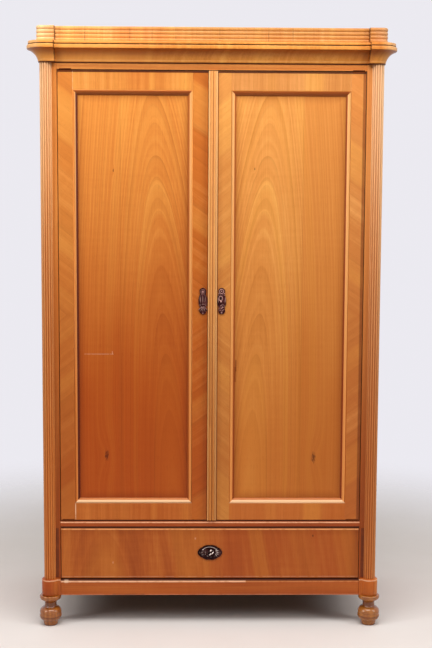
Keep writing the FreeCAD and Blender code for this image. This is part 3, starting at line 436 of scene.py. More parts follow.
metalLook = {
    "cloudEdge": (0.35, 0.68),
    "speckFiner": 7,
    "speckEdge": (0.58, 0.75),
    "stainShine": 0.04,
    "bump": 0.4,
    "bumpHeight": 0.0002,
}


def metalFinish(name, dull, bright, recess, roughness, spread, scale, front=None, dullFront=False):
    material, shader = freshMaterial(name)
    place = objectPlace()
    cloud = stretched(place, (1, 1, 1), 4.0, scale)
    speck = stretched(place, (1, 1, 1), 2.0, scale * metalLook["speckFiner"])
    colour = blendColour(remap(cloud, *metalLook["cloudEdge"]), dull, bright)
    colour = blendColour(remap(speck, *metalLook["speckEdge"]), colour, recess)
    metal = {"Metallic": 1.0}
    if front:  # rubbed bright, with painted highlight, where the relief stands out; or painted shade, a dull flat brown, for a plate's end in a gap
        start, end, tint, amount = front
        covered = times(remap(splitAxes(place)[1], start, end), amount)
        colour = blendColour(covered, colour, tint)
        if dullFront:
            metal = {"Metallic": minus(1.0, covered), "Specular IOR Level": metalLook["stainShine"]}
    wire(shader, {
        "Base Color": colour,
        "Roughness": plus(times(speck, spread), roughness),
        "Normal": bumped(speck, metalLook["bump"], metalLook["bumpHeight"]),
        **metal,
    })
    return material


panelLook = {
    "left": dict(
        flip=-1.0, pale=rgb(242, 166, 80), mid=rgb(226, 142, 62), deep=rgb(204, 114, 44),
        warm=rgb(210, 112, 42), line=rgb(162, 76, 18), lowTint=(0.6, 0.34, 0.2), lowFrom=(1.8, 0.72),
        knots=((0.35, 0.584, 0.01), (0.325, 1.538, 0.0025)), seam=(0.302, 0.08),
        # painted shade along the margins of the opening and towards one side
        grime=(
            band("opening", 0.02, 0.014, 0.6), band("opening", 0.048, 0.014, 0.34),
            band("X", -0.38, -0.05, 0.12),
        ),
        marks=(
            ("Z", 0.928, 0.0008, -0.422, -0.328, paleTint, 0.26, 1.0),
            ("X", -0.33, 0.001, 0.929, 0.936, paleTint, 0.26, 1.0),
        ),
    ),
    "right": dict(
        flip=1.0, pale=rgb(244, 178, 96), mid=rgb(228, 152, 76), deep=rgb(204, 126, 54),
        warm=rgb(212, 126, 54), line=rgb(170, 90, 26), lowTint=(0.74, 0.6, 0.46), seam=(0.302, 0.34),
        knots=((0.348, 0.577, 0.01), (0.142, 1.545, 0.0025)),
        # painted shade along the margins of the opening and towards one side
        grime=(
            band("opening", 0.02, 0.014, 0.45), band("opening", 0.05, 0.014, 0.34),
            band("X", 0.1, 0.46, 0.14),
        ),
        marks=(
            ("X", 0.0835, 0.0011, 0.872, 0.908, rgb(120, 52, 8), 0.9, 0.25),
            ("X", 0.081, 0.0013, 0.836, 0.884, rgb(120, 52, 8), 0.9, 0.25),
            ("X", 0.079, 0.0012, 0.77, 0.842, rgb(120, 52, 8), 0.5, 0.25),
        ),
    ),
}
panelFinish = {
    side: woodFinish(
        side + "PanelVeneer", heart=(0.19, doorPlane + 0.09), climb=0.036, lean=0.05, spacing=0.0058,
        wander=0.0042, wanderScale=3.8, ringDepth=0.42, lineDepth=0.34, fibreDepth=0.24, streakDepth=0.22,
        figureDepth=0.34, grimeTint=(0.42, 0.22, 0.1, 1.0), **look,
    )
    for side, look in panelLook.items()
}
# painted shade along the top and bottom ends of the doors, in the gaps
doorEnds = (band("Z", 1.853, 1.8555, 0.92, gapTint), band("Z", 0.3658, 0.3646, 0.5, gapTint))
chevron = dict(
    chevronHeight=1.06, spacing=0.021, wander=0.02, ringDepth=0.26, lineDepth=0.16, fibreDepth=0.2,
    figureScale=(9.0, 9.0, 2.0), figureDepth=0.55, streakDepth=0.24,
)
# painted shade in the door gaps, beside the meeting strip, towards the left door's meeting edge and along the
# right door's outer edge
stileFinish = {
    "left_door_outer_stile": woodFinish(
        "leftOuterBanding", tilt=-50, heart=(1.3, 0.5), mid=rgb(218, 136, 60), deep=rgb(198, 114, 46),
        warm=rgb(214, 124, 50), lowTint=(0.6, 0.42, 0.36), grime=(gapGrime, *doorEnds), **chevron,
    ),
    "left_door_meeting_stile": woodFinish(
        "leftMeetingBanding", tilt=-56, heart=(1.7, 0.4), mid=rgb(202, 116, 40),
        grime=(gapGrime, *doorEnds, band("X", -0.052, -0.014, 0.22)), **dict(chevron, lineDepth=0.3),
    ),
    "right_door_meeting_stile": woodFinish(
        "rightMeetingBanding", tilt=50, heart=(-1.5, 0.6), mid=rgb(221, 149, 76), pale=rgb(246, 180, 100),
        deep=rgb(208, 128, 58), warm=rgb(218, 134, 60), lowTint=(0.72, 0.6, 0.52),
        grime=(gapGrime, *doorEnds, band("X", 0.0235, 0.02, 0.75)), **chevron,
    ),
    "right_door_outer_stile": woodFinish(
        "rightOuterBanding", tilt=-56, heart=(1.9, 0.3), mid=rgb(214, 138, 70), pale=rgb(240, 172, 98),
        deep=rgb(202, 122, 58), warm=rgb(214, 130, 62), lowTint=(0.7, 0.52, 0.44),
        grime=(gapGrime, *doorEnds, band("X", 0.493, 0.4975, 0.62)), **chevron,
    ),
}
# the rails carry the painted shade of the door gaps
railLook = dict(
    heart=(2.2, 0.6), spacing=0.016, wander=0.01, figureScale=(10.0, 10.0, 1.2), ringDepth=0.3,
    lineDepth=0.1, figureDepth=0.45, grime=(gapGrime, *doorEnds),
    marks=(
        ("X", -0.4555, 0.0011, 0.367, 0.42, paleTint, 0.6, 0.8),
        ("X", -0.4555, 0.001, 1.8, 1.856, paleTint, 0.22, 0.8),
    ),
)
doorRailFinish = {
    "left": woodFinish("leftRailVeneer", **railLook),
    "right": woodFinish(
        "rightRailVeneer", mid=rgb(208, 136, 70), pale=rgb(230, 160, 92), deep=rgb(186, 110, 52),
        lowTint=(0.84, 0.7, 0.58), **railLook,
    ),
}
drawerVeneer = woodFinish(
    "drawerVeneer", heart=(-0.36, doorPlane + 0.12), taper=0.16, spacing=0.022, wander=0.016,
    mid=rgb(202, 122, 52), deep=rgb(174, 94, 38), pale=rgb(222, 150, 70), warm=rgb(188, 98, 42),
    gold=rgb(222, 154, 66), ringDepth=0.4, lineDepth=0.16, figureScale=(15.0, 15.0, 1.3), figureDepth=0.7,
    rippleDepth=0.16, streakDepth=0.4,
    # painted shade in the gaps above and below, towards the right end and under the cross rail
    grime=(
        gapGrime, band("Z", 0.3345, 0.336, 0.75, gapTint), band("Z", 0.164, 0.1624, 0.75, gapTint),
        band("X", 0.47, 0.5, 0.45), band("Z", 0.3, 0.332, 0.22),
    ),
    grimeTint=(0.42, 0.24, 0.14, 1.0),
    marks=(
        # the pale line along the top edge is painted highlight on the worn arris
        ("Z", 0.3316, 0.0015, -0.6, 0.6, rgb(242, 170, 110), 0.85, 0.45),
        ("Z", 0.1672, 0.001, -0.6, 0.6, paleTint, 0.16, 0.9),
        ("X", -0.05, 0.0018, 0.298, 0.302, paleTint, 0.35, 1.0),
        ("X", -0.33, 0.0012, 0.214, 0.218, paleTint, 0.25, 1.0),
        ("X", 0.349, 0.002, 0.307, 0.311, crackTint, 0.6, 1.0),
    ),
)
# painted shade: darker towards the floor and in the gaps, with a painted shadow of each column beside it at
# the drawer; the right post is painted paler
postFinish = woodFinish(
    "postVeneer", heart=(1.1, 0.7), spacing=0.01, mid=rgb(210, 128, 58), lowTint=(0.46, 0.26, 0.16),
    lowFrom=(1.6, 0.25), grime=(gapGrime, band("X", 0.48, 0.5, -0.15)),
    marks=tuple(("X", x, 0.0042, 0.166, 0.334, rgb(66, 20, 8), 0.62, 0.3) for x in (-0.5185, 0.5185)),
)
# painted shade in the flutes; painted highlight on the lands, on the outer sides, over the right column and
# towards the top
columnFinish = woodFinish(
    "columnWood", heart=(0.7, 0.2), spacing=0.009, mid=rgb(252, 178, 102), pale=rgb(255, 202, 134),
    deep=rgb(232, 148, 74), lowTint=(0.66, 0.43, 0.27), roughness=0.34, shine=0.14, coat=0.04,
    figureScale=(20, 20, 0.8),
    grime=(
        band("column", 0.0196, 0.0183, 0.62), band("column", 0.02, 0.0205, -0.35),
        band("X", 0.546, 0.56, -0.45), band("X", -0.548, -0.562, -0.35), band("X", 0.45, 0.5, -0.26),
        band("Z", 1.25, 1.9, -0.42, rgb(254, 218, 176)),
    ),
    rubTint=rgb(255, 214, 162), grimeTint=(0.46, 0.26, 0.12, 1.0),
)
# painted shade on the faces set back from the front and in one groove; painted highlight on the left side and
# on the right land
stripFinish = woodFinish(
    "stripWood", heart=(0.4, 0.3), spacing=0.009, mid=rgb(248, 180, 106), pale=rgb(255, 204, 132),
    deep=rgb(230, 156, 84), warm=rgb(232, 150, 78), lowTint=(0.68, 0.56, 0.46), roughness=0.34, shine=0.14,
    coat=0.04,
    grime=(
        band("Y", doorPlane - 0.0082, doorPlane - 0.0064, 0.3),
        band("X", 0.0026, 0.0034, 0.7, stop=0.005),
        band("X", -0.006, -0.0072, -0.8, rgb(255, 200, 134)),
        band("X", 0.0112, 0.013, -0.7, rgb(255, 208, 144)),
    ),
    grimeTint=(0.42, 0.22, 0.1, 1.0),
)
bevelLook = dict(
    heart=(0.6, 0.4), mid=rgb(222, 138, 62), pale=rgb(236, 160, 82), deep=rgb(206, 120, 48),
    lowTint=(0.78, 0.58, 0.44), rubTint=rgb(255, 190, 118), grimeTint=(0.32, 0.12, 0.04, 1.0),
)
bevelEnds = {  # painted light and shade on the moulding of either door: the top strip darkened, the bottom one pale with a dark inner edge; the order of the strips is top, left, right, bottom
    "top": (band("opening", 0.0014, 0.0032, 0.8),),
    "left": (),
    "right": (),
    "bottom": (
        band("opening", -0.0005, 0.0008, -0.95, rgb(255, 212, 168), stop=0.0098),
        band("opening", 0.01, 0.0114, 0.4),
    ),
}
# painted highlight on the outer part and painted shade on the inner part of each side strip, for either door
bevelTones = {
    "left": {
        "left": (
            band("opening", 0.005, 0.007, -0.45, stop=0.01),
            band("opening", 0.0092, 0.0106, 0.95, (0.14, 0.035, 0.01, 1.0)),
        ),
        "right": (band("opening", 0.0015, 0.0035, -0.6, stop=0.01), band("opening", 0.0104, 0.0126, 0.55)),
    },
    "right": {
        "left": (band("opening", 0.001, 0.003, -0.75, stop=0.0106), band("opening", 0.0106, 0.0124, 0.6)),
        "right": (band("opening", 0.002, 0.0036, -0.75, stop=0.0116), band("opening", 0.0114, 0.0128, 0.85)),
    },
}
bevelFinish = {
    side: [
        woodFinish(
            side + edge.capitalize() + "BevelWood", run="X" if edge in ("top", "bottom") else "Z",
            grime=grime, **(dict(bevelLook, lowTint=(0.96, 0.9, 0.84)) if edge == "bottom" else bevelLook),
        )
        for edge, grime in dict(bevelEnds, **tones).items()
    ]
    for side, tones in bevelTones.items()
}
thinRailLook = dict(run="X", heart=(0.8, 0.5), spacing=0.008)
# painted shade in the door gap and along the top edge, under the cornice
friezeFinish = woodFinish(
    "friezeVeneer", mid=rgb(214, 134, 64), deep=rgb(184, 104, 46),
    grime=(gapGrime, band("Z", 1.8818, 1.8834, 0.85, gapTint)), **thinRailLook,
)
# painted shade in the gaps above and below, and painted highlight along the rounded top edge
crossRailFinish = woodFinish(
    "crossRailVeneer", mid=rgb(190, 104, 50), deep=rgb(160, 80, 36), pale=rgb(206, 124, 62),
    grime=(gapGrime, band("Z", 0.3584, 0.36, 0.7, gapTint), band("Z", 0.3428, 0.3406, 0.85, gapTint)),
    marks=(("Z", 0.3553, 0.0016, -0.6, 0.6, rgb(250, 184, 140), 0.9, 0.35),), **thinRailLook,
)
corniceFinish = woodFinish(
    "corniceVeneer", heart=(2.0, 0.8), spacing=0.014, mid=rgb(222, 142, 62), pale=rgb(240, 168, 84),
    deep=rgb(196, 112, 44), ringDepth=0.3, figureScale=(12, 12, 5), figureDepth=0.45, lineDepth=0.12,
    grimeTint=(0.48, 0.25, 0.14, 1.0),
    # painted shade at the top of the cove and in the gap over the frieze; painted highlight over the left of
    # the cove and at both ends
    grime=(
        band("Z", 1.9, 1.925, 0.75, stop=1.9262), band("Z", 1.888, 1.8864, 0.92, gapTint),
        band("X", -0.05, -0.42, -0.62, rgb(255, 172, 86)),
        band("X", 0.535, 0.6, -0.42, rgb(255, 216, 160)),
        band("X", -0.54, -0.6, -0.36, rgb(255, 216, 160)),
    ),
    marks=(
        ("Z", 1.9398, 0.0016, -0.62, 0.62, crackTint, 0.85, 0.4),
        # painted highlight along the lower bead
        ("Z", 1.8925, 0.0011, -0.62, 0.62, rgb(250, 190, 120), 0.35, 0.6),
        ("X", -0.5112, 0.0011, 1.884, 1.952, crackTint, 0.7, 1.0),
        ("X", 0.5112, 0.0011, 1.884, 1.952, crackTint, 0.7, 1.0),
    ),
)
galleryCracks = (-0.415, -0.268, -0.196, -0.119, 0.024, 0.109, 0.183, 0.262)
galleryFinish = woodFinish(
    "galleryVeneer", heart=(2.4, 0.7), spacing=0.014, mid=rgb(234, 170, 94), pale=rgb(250, 200, 124),
    deep=rgb(212, 140, 70), gold=rgb(246, 190, 100),
    # painted highlight at both ends and painted shade over the middle and the right
    grime=(
        band("X", -0.49, -0.57, -0.5, rgb(255, 228, 178)),
        band("X", 0.51, 0.575, -0.4, rgb(255, 226, 176)),
        band("X", -0.36, 0.06, 0.7, (0.56, 0.44, 0.34, 1.0)),
    ),
    ringDepth=0.3, figureScale=(16, 16, 6), figureDepth=0.45, lineDepth=0.12,
    marks=(
        *(("X", x, 0.0005, 1.95, 2.01, crackTint, 0.75, 1.0) for x in galleryCracks),
        *(("X", x, 0.0012, 1.945, 2.01, crackTint, 0.7, 1.0) for x in (-0.5112, 0.5112)),
        # the lines between the reeds are painted shade in the grooves
        *(("Z", 1.9512 + 0.0122 * i, 0.0009, -0.62, 0.62, rgb(140, 72, 22), 0.45, 0.6) for i in range(4)),
    ),
)
plinthFinish = woodFinish(
    "plinthVeneer", run="X", heart=(0.7, 0.4), spacing=0.012, mid=rgb(198, 116, 52), deep=rgb(162, 84, 36),
    pale=rgb(220, 148, 70), gold=rgb(222, 154, 68), streakDepth=0.4, figureDepth=0.6,
    # painted shade in the gap along the top; the pale lines along the top edge below are painted highlight
    grime=(band("Z", 0.1531, 0.1546, 0.9, gapTint),),
    marks=(
        ("Z", 0.1514, 0.0021, -0.6, 0.12, rgb(250, 196, 156), 0.85, 0.4),
        ("Z", 0.1514, 0.0019, 0.12, 0.6, rgb(226, 154, 100), 0.4, 0.6),
        ("Z", 0.1062, 0.0013, -0.6, 0.6, rgb(214, 140, 104), 0.45, 0.8),
        ("Z", 0.107, 0.0014, -0.33, -0.225, crackTint, 0.45, 1.0),
        ("X", -0.488, 0.005, 0.148, 0.156, paleTint, 0.55, 0.8),
    ),
)
drumLook = dict(
    heart=(0.9, 0.3), spacing=0.01,
    # painted highlight along the top rim
    marks=(("Z", 0.1574, 0.0014, -0.62, 0.62, rgb(240, 190, 150), 0.55, 0.5),),
)
drumFinish = {
    "left": woodFinish(
        "leftDrumVeneer", mid=rgb(184, 96, 40), deep=rgb(140, 66, 28), pale=rgb(208, 124, 60),
        figureDepth=0.7, **drumLook,
    ),
    "right": woodFinish(
        "rightDrumVeneer", mid=rgb(200, 118, 52), deep=rgb(160, 84, 34), pale=rgb(220, 146, 74),
        lowTint=(0.8, 0.64, 0.52), figureDepth=0.6, **drumLook,
    ),
}
footFinish = woodFinish(
    "turnedFootWood", heart=(0.62, -0.1), spacing=0.007, mid=rgb(158, 92, 34), deep=rgb(112, 58, 20),
    pale=rgb(192, 128, 58), line=rgb(76, 38, 14), warm=rgb(144, 78, 28), gold=rgb(196, 136, 60),
    lineDepth=0.22, ringDepth=0.45, lowTint=(0.9, 0.82, 0.7), grimeTint=(0.3, 0.16, 0.1, 1.0),
    # painted shade in the creases between ring, neck, ball and tip, and where the foot meets the floor
    grime=(
        band("Z", 0.058, 0.066, 0.55, stop=0.0845), band("Z", 0.026, 0.03, 0.5, stop=0.034),
        band("Z", 0.006, 0.001, 0.6),
    ),
    roughness=0.18, shine=0.35, coat=0.45, coatRoughness=0.06,
)
sideFinish = {
    "panel": woodFinish(
        "sidePanelVeneer", run="side", foldSides=True, heart=(0.04, -0.61), climb=0.034, lean=0.03,
        spacing=0.006, wander=0.005, wanderScale=3.4, lineDepth=0.28, mid=rgb(206, 122, 48),
        deep=rgb(180, 98, 34), pale=rgb(224, 146, 66),
    ),
    "rail": woodFinish("sideRailVeneer", run="Y", heart=(0.4, 0.9), mid=rgb(200, 116, 46), lineDepth=0.2),
    "post": woodFinish("rearPostVeneer", heart=(1.4, 0.8), mid=rgb(200, 116, 46), lineDepth=0.2),
}
bareWood = dict(
    pale=rgb(226, 196, 152), mid=rgb(208, 172, 124), deep=rgb(184, 144, 96), line=rgb(150, 104, 62),
    warm=rgb(196, 150, 98), gold=rgb(228, 196, 146), roughness=0.62, coat=0.0, spacing=0.007, lineDepth=0.5,
    poreDepth=0.12, lowTint=(0.9, 0.84, 0.78), grainHeight=0.0003,
    # painted shade on the undersides low in the case, for the shadow under it
    grime=(band("Z", 0.1795, 0.177, 0.85, (0.1, 0.08, 0.07, 1.0)),),
)
bareFinish = {
    run: woodFinish(
        "bareSoftwood" + run, run=run, heart=(0.12, 0.06), taper=0.03, wander=0.006, boards=boards,
        **bareWood,
    )
    for run, boards in (("X", ("Y", -0.2378, 0.106)), ("Y", None), ("Z", ("X", -0.526, 0.17533)))
}
beechFinish = woodFinish(
    "waxedBeech", run="X", heart=(0.5, 0.3), pale=rgb(206, 160, 112), mid=rgb(184, 134, 86),
    deep=rgb(160, 110, 66), line=rgb(124, 80, 44), warm=rgb(176, 120, 72), gold=rgb(206, 160, 112),
    roughness=0.4, coat=0.15,
)

# metals
# the pale tint over the raised relief is worn high points and painted highlight
bronzeFinish = metalFinish(
    "patinatedBronze", rgb(54, 24, 24), rgb(92, 50, 48), rgb(30, 14, 14), 0.24, 0.2, 60,
    (doorPlane - 0.0031, doorPlane - 0.0052, rgb(206, 158, 146), 0.75),
)
# painted shade: the plates' ends in the gaps are dulled to a flat dark brown
brassFinish = metalFinish(
    "tarnishedBrass", rgb(140, 104, 60), rgb(184, 146, 92), rgb(84, 60, 36), 0.3, 0.25, 40,
    (doorPlane + 0.016, doorPlane + 0.011, rgb(108, 48, 20), 0.97), dullFront=True,
)
# the near-white tint over the raised relief is painted highlight
drawerBronze = metalFinish(
    "drawerBronze", rgb(38, 20, 20), rgb(74, 44, 42), rgb(18, 9, 9), 0.24, 0.2, 60,
    (doorPlane - 0.0034, doorPlane - 0.0048, rgb(240, 222, 212), 0.92),
)
ironFinish = metalFinish("brownedIron", rgb(62, 54, 50), rgb(92, 82, 74), rgb(44, 30, 22), 0.42, 0.22, 35)
print("finishes made:", len(bpy.data.materials))


# copies of the CAD pieces, with their edges rounded
def copiedShape(name):
    shape = bmesh.new()
    shape.from_mesh(frame["nodes"][name].data)
    bmesh.ops.remove_doubles(shape, verts=shape.verts, dist=1e-5)
    bmesh.ops.dissolve_limit(shape, angle_limit=radians(0.6), verts=shape.verts, edges=shape.edges)
    return shape


def shapeBox(shape):
    points = [v.co for v in shape.verts]
    low, high = (Vector(pick(p[i] for p in points) for i in range(3)) for pick in (min, max))
    return low, high


def roundEdges(shape, edges, width, segments=2):
    bmesh.ops.bevel(shape, geom=edges, offset=width, offset_type="OFFSET", affect="EDGES", segments=segments,
                    profile=0.5, material=-1, clamp_overlap=True)


def sharpEdges(shape, angle):
    return [edge for edge in shape.edges if edge.calc_face_angle(0.0) > radians(angle)]


def shiftNew(shape, made, offset):
    # moves what an extrusion has just made
    bmesh.ops.translate(shape, verts=[v for v in made if isinstance(v, bmesh.types.BMVert)], vec=offset)


def shiftFaces(shape, faces, offset):
    bmesh.ops.translate(shape, verts=list({v for face in faces for v in face.verts}), vec=offset)


def turnShape(shape, verts, degrees, axis):
    turn = Matrix.Rotation(radians(degrees), 3, axis)
    bmesh.ops.rotate(shape, verts=verts, cent=(0, 0, 0), matrix=turn)


def insetFaces(shape, faces, thickness):
    return bmesh.ops.inset_region(shape, faces=faces, thickness=thickness, use_boundary=True,
                                  use_even_offset=True)["faces"]


def finishPiece(shape, name, body, materials, smooth=None, replaces=()):
    mesh = bpy.data.meshes.new(name)
    for material in materials:
        mesh.materials.append(material)
    shape.to_mesh(mesh)
    shape.free()
    for face in mesh.polygons:
        face.use_smooth = smooth is not None
    if smooth is not None:
        mesh.set_sharp_from_angle(angle=radians(smooth))
    piece = bpy.data.objects.new(name, mesh)
    intoScene(piece)
    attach(piece, body)
    if replaces:
        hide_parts(*replaces)


def camel(name):
    words = name.split("_")
    return words[0] + "".join(word.capitalize() for word in words[1:])


def softenedPiece(name, finish, width, segments=2, smooth=None, angle=30.0, shaping=None, label=None):
    shape = copiedShape(name)
    if shaping:
        shaping(shape)
    roundEdges(shape, sharpEdges(shape, angle), width, segments)
    finishPiece(shape, label or camel(name), bodyOf[name], [finish], smooth, [name])


mouldedEdges = {"segments": 1, "smooth": 32, "angle": 40}
flutedEdges = {"segments": 1, "smooth": 28, "angle": 24}
turnedEdges = {"smooth": 35, "angle": 40}

# case
caseLook = {
    "arris": 0.001,
    "fineArris": 0.0005,
    "friezeArris": 0.0006,
    "topArris": 0.0026,  # the rounded upper edges that catch the light
    "topSteps": 4,
}


def roundTopFront(shape):
    low, high = shapeBox(shape)
    edges = [edge for edge in shape.edges
             if all(abs(v.co.z - high.z) < 1e-4 and abs(v.co.y - low.y) < 1e-4 for v in edge.verts)]
    roundEdges(shape, edges, caseLook["topArris"], caseLook["topSteps"])


for name in ("left_front_post", "right_front_post"):
    softenedPiece(name, postFinish, caseLook["arris"])
softenedPiece("frieze_rail", friezeFinish, caseLook["friezeArris"])
softenedPiece("cross_rail", crossRailFinish, caseLook["fineArris"], shaping=roundTopFront)
for name in ("left_side_panel", "right_side_panel"):
    softenedPiece(name, sideFinish["panel"], caseLook["fineArris"])
softenedPiece("side_rails", sideFinish["rail"], caseLook["arris"])
softenedPiece("rear_posts", sideFinish["post"], caseLook["arris"])
for name in ("left_column", "right_column"):
    softenedPiece(name, columnFinish, columnLook["arris"], **flutedEdges)
print("case done")

# cornice and gallery
corniceLook = {
    "arris": 0.0005,
    "galleryArris": 0.0004,
    "groove": 0.0022,
    "inset": 0.0016,  # how far the groove is cut in
    "top": 1.95,
    "beadArris": 0.0022,
    "beadSteps": 3,
}
straightCornice = ("cornice_front", "cornice_left", "cornice_right")
cornerCornice = ("cornice_left_corner", "cornice_right_corner")
for name in straightCornice:
    softenedPiece(name, corniceFinish, corniceLook["arris"], smooth=32, angle=34)
for name in cornerCornice:
    softenedPiece(name, corniceFinish, corniceLook["arris"], **mouldedEdges)
softenedPiece("gallery", galleryFinish, corniceLook["galleryArris"], label="galleryBoard", **mouldedEdges)

for name in straightCornice + cornerCornice:
    # a second bead over a fine groove, drawn up from the top face of the lip
    shape = copiedShape(name)
    lipTop = shapeBox(shape)[1].z
    beadLow = lipTop + corniceLook["groove"]
    other = [f for f in shape.faces if f.normal.z < 0.999 or abs(f.calc_center_median().z - lipTop) > 1e-4]
    bmesh.ops.delete(shape, geom=other, context="FACES")
    bead = shape.faces[:]
    neck = [f for f in bmesh.ops.duplicate(shape, geom=bead)["geom"] if isinstance(f, bmesh.types.BMFace)]
    bmesh.ops.delete(shape, geom=insetFaces(shape, neck, corniceLook["inset"]), context="FACES")
    neck = [f for f in neck if f.is_valid]
    shiftNew(shape, bmesh.ops.extrude_face_region(shape, geom=neck)["geom"], (0, 0, corniceLook["groove"]))
    shiftFaces(shape, bead, (0, 0, corniceLook["groove"]))
    shiftNew(shape, bmesh.ops.extrude_face_region(shape, geom=bead)["geom"],
             (0, 0, corniceLook["top"] - lipTop - corniceLook["groove"]))
    bmesh.ops.recalc_face_normals(shape, faces=shape.faces)
    rounded = [e for e in sharpEdges(shape, 60) if min(v.co.z for v in e.verts) > beadLow - 1e-4
               and abs(e.verts[0].co.z - e.verts[1].co.z) < 1e-5]
    roundEdges(shape, rounded, corniceLook["beadArris"], corniceLook["beadSteps"])
    finishPiece(shape, camel(name) + "Rim", bodyOf[name], [corniceFinish], 32)
print("cornice done")

# plinth and feet
plinthLook = {"arris": 0.0008, "drumArris": 0.0006}
softenedPiece("plinth_front_rail", plinthFinish, plinthLook["arris"], shaping=roundTopFront)
softenedPiece("plinth_side_rails", sideFinish["rail"], caseLook["arris"])
for side in drumFinish:
    softenedPiece(side + "_plinth_corner", drumFinish[side], plinthLook["drumArris"], **mouldedEdges)
footLook = {
    "arris": 0.0005,
    "rearArris": 0.0015,
    "tip": 1.12,  # how much fuller the turned tip and the ball are than the plain solid
    "ball": 1.03,
    "tipTop": 0.018,
    "ballLow": 0.036,
    "ballTop": 0.066,
    "ringLow": 0.088,
}


def fillFoot(shape):
    low, high = shapeBox(shape)
    middleX = (low.x + high.x) / 2
    for v in shape.verts:
        if v.co.z < footLook["ballLow"]:
            start, end, lower, upper = (footLook[key] for key in ("tipTop", "ballLow", "tip", "ball"))
        else:
            start, end, lower, upper = footLook["ballTop"], footLook["ringLow"], footLook["ball"], 1.0
        share = min(1.0, max(0.0, (v.co.z - start) / (end - start)))
        fuller = lower + (upper - lower) * share
        v.co.x = middleX + (v.co.x - middleX) * fuller
        v.co.y = columnLook["y"] + (v.co.y - columnLook["y"]) * fuller


for name in ("left_front_foot", "right_front_foot"):
    softenedPiece(name, footFinish, footLook["arris"], segments=1, shaping=fillFoot, **turnedEdges)
softenedPiece("rear_feet", footFinish, footLook["rearArris"])
print("plinth and feet done")

# doors
doorLook = {"arris": 0.0012, "railArris": 0.0005, "panelArris": 0.0004}
mouldingLook = {
    "width": 0.016,
    "fall": 0.0095,
    "curve": 1.9,  # 1 would be a flat bevel, more is a rounder quarter-round
    "steps": 8,
}
stripLook = {
    "arris": 0.0004,
    "wider": 0.0012,  # towards the left door, to leave a hairline gap
}


def openingMoulding(side):
    name = side + "_door_moulding"
    low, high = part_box(name)
    middle = ((low.x + high.x) / 2, low.y, (low.z + high.z) / 2)
    shape = bmesh.new()
    bmesh.ops.create_grid(shape, x_segments=1, y_segments=1, size=0.5)
    bmesh.ops.scale(shape, verts=shape.verts, vec=(high.x - low.x, high.z - low.z, 1))
    turnShape(shape, shape.verts, 90, "X")
    bmesh.ops.translate(shape, verts=shape.verts, vec=middle)
    outerEdges = shape.edges[:]
    inner = shape.faces[:]
    steps = mouldingLook["steps"]
    depth = [mouldingLook["fall"] * (i / steps) ** mouldingLook["curve"] for i in range(steps + 1)]
    for i in range(steps):
        insetFaces(shape, inner, mouldingLook["width"] / steps)
        shiftFaces(shape, inner, (0, depth[i + 1] - depth[i], 0))
    innerEdges = inner[0].edges[:]
    bmesh.ops.delete(shape, geom=inner, context="FACES_ONLY")
    loops = []
    for edges, place in ((outerEdges, low.y), (innerEdges, low.y + mouldingLook["fall"])):
        drawn = bmesh.ops.extrude_edge_only(shape, edges=[e for e in edges if e.is_valid])["geom"]
        shiftNew(shape, drawn, (0, high.y - place, 0))
        loops += [e for e in drawn if isinstance(e, bmesh.types.BMEdge)]
    bmesh.ops.bridge_loops(shape, edges=[e for e in loops if e.is_boundary])
    bmesh.ops.recalc_face_normals(shape, faces=shape.faces)
    for face in shape.faces:  # each strip has its own copy of the finish, with its own painted light and shade: top, left, right, bottom
        spot = face.calc_center_median()
        edgeGaps = (high.z - spot.z, spot.x - low.x, high.x - spot.x, spot.z - low.z)
        face.material_index = edgeGaps.index(min(edgeGaps))
    finishPiece(shape, camel(name), bodyOf[name], bevelFinish[side], 32, [name])


def widenStrip(shape):
    edge = shapeBox(shape)[0].x
    for v in shape.verts:
        if v.co.x < edge + 0.0002:
            v.co.x -= stripLook["wider"]


for name in stileFinish:
    softenedPiece(name, stileFinish[name], doorLook["arris"])
for side in ("left", "right"):
    softenedPiece(side + "_door_rails", doorRailFinish[side], doorLook["railArris"])
    softenedPiece(side + "_door_panel", panelFinish[side], doorLook["panelArris"])
    openingMoulding(side)
softenedPiece("meeting_strip", stripFinish, stripLook["arris"], shaping=widenStrip, **flutedEdges)
print("doors done")

# drawer
drawerLook = {"frontArris": 0.0008, "sideArris": 0.001, "boardArris": 0.0006}
softenedPiece("drawer_front", drawerVeneer, drawerLook["frontArris"], shaping=roundTopFront)
softenedPiece("drawer_sides", bareFinish["Y"], drawerLook["sideArris"])
for name in ("drawer_back", "drawer_bottom"):
    softenedPiece(name, bareFinish["X"], drawerLook["boardArris"])
print("drawer done")

# inside
insideLook = {"boardArris": 0.0012, "railArris": 0.0008, "socketArris": 0.002}
for name, run in (("floor_board", "X"), ("hat_shelf", "X"), ("top_board", "X"), ("back_boards", "Z"),
                  ("shelf_bearers", "Y"), ("drawer_runners", "Y")):
    softenedPiece(name, bareFinish[run], insideLook["boardArris"])
softenedPiece("hanging_rail", beechFinish, insideLook["railArris"], **turnedEdges)
softenedPiece("rail_sockets", beechFinish, insideLook["socketArris"], segments=3, **turnedEdges)
print("inside done")

# hinges, bolts and locks
ironmongeryLook = {"plateArris": 0.0003, "lockArris": 0.0006}
for name in ("case_hinge_plates", "left_door_hinge_plates", "right_door_hinge_plates", "left_door_top_bolt",
             "left_door_bottom_bolt", "left_door_bolt_plates", "door_lock_bolt", "drawer_lock_bolt"):
    softenedPiece(name, brassFinish, ironmongeryLook["plateArris"], **turnedEdges)
for name in ("door_lock", "drawer_lock"):
    softenedPiece(name, ironFinish, ironmongeryLook["lockArris"])
print("ironmongery done")

# escutcheons
escutcheonLook = {
    "border": 0.0017,
    "sunk": 0.0009,
    "edge": 0.0005,
    "reliefDepth": 0.0004,  # how far behind the plate's face the middle of the relief lies
    "tubeSides": 8,
    "tubeStep": 15,  # degrees
    "leastSteps": 6,
    "endBead": 1.5,
}


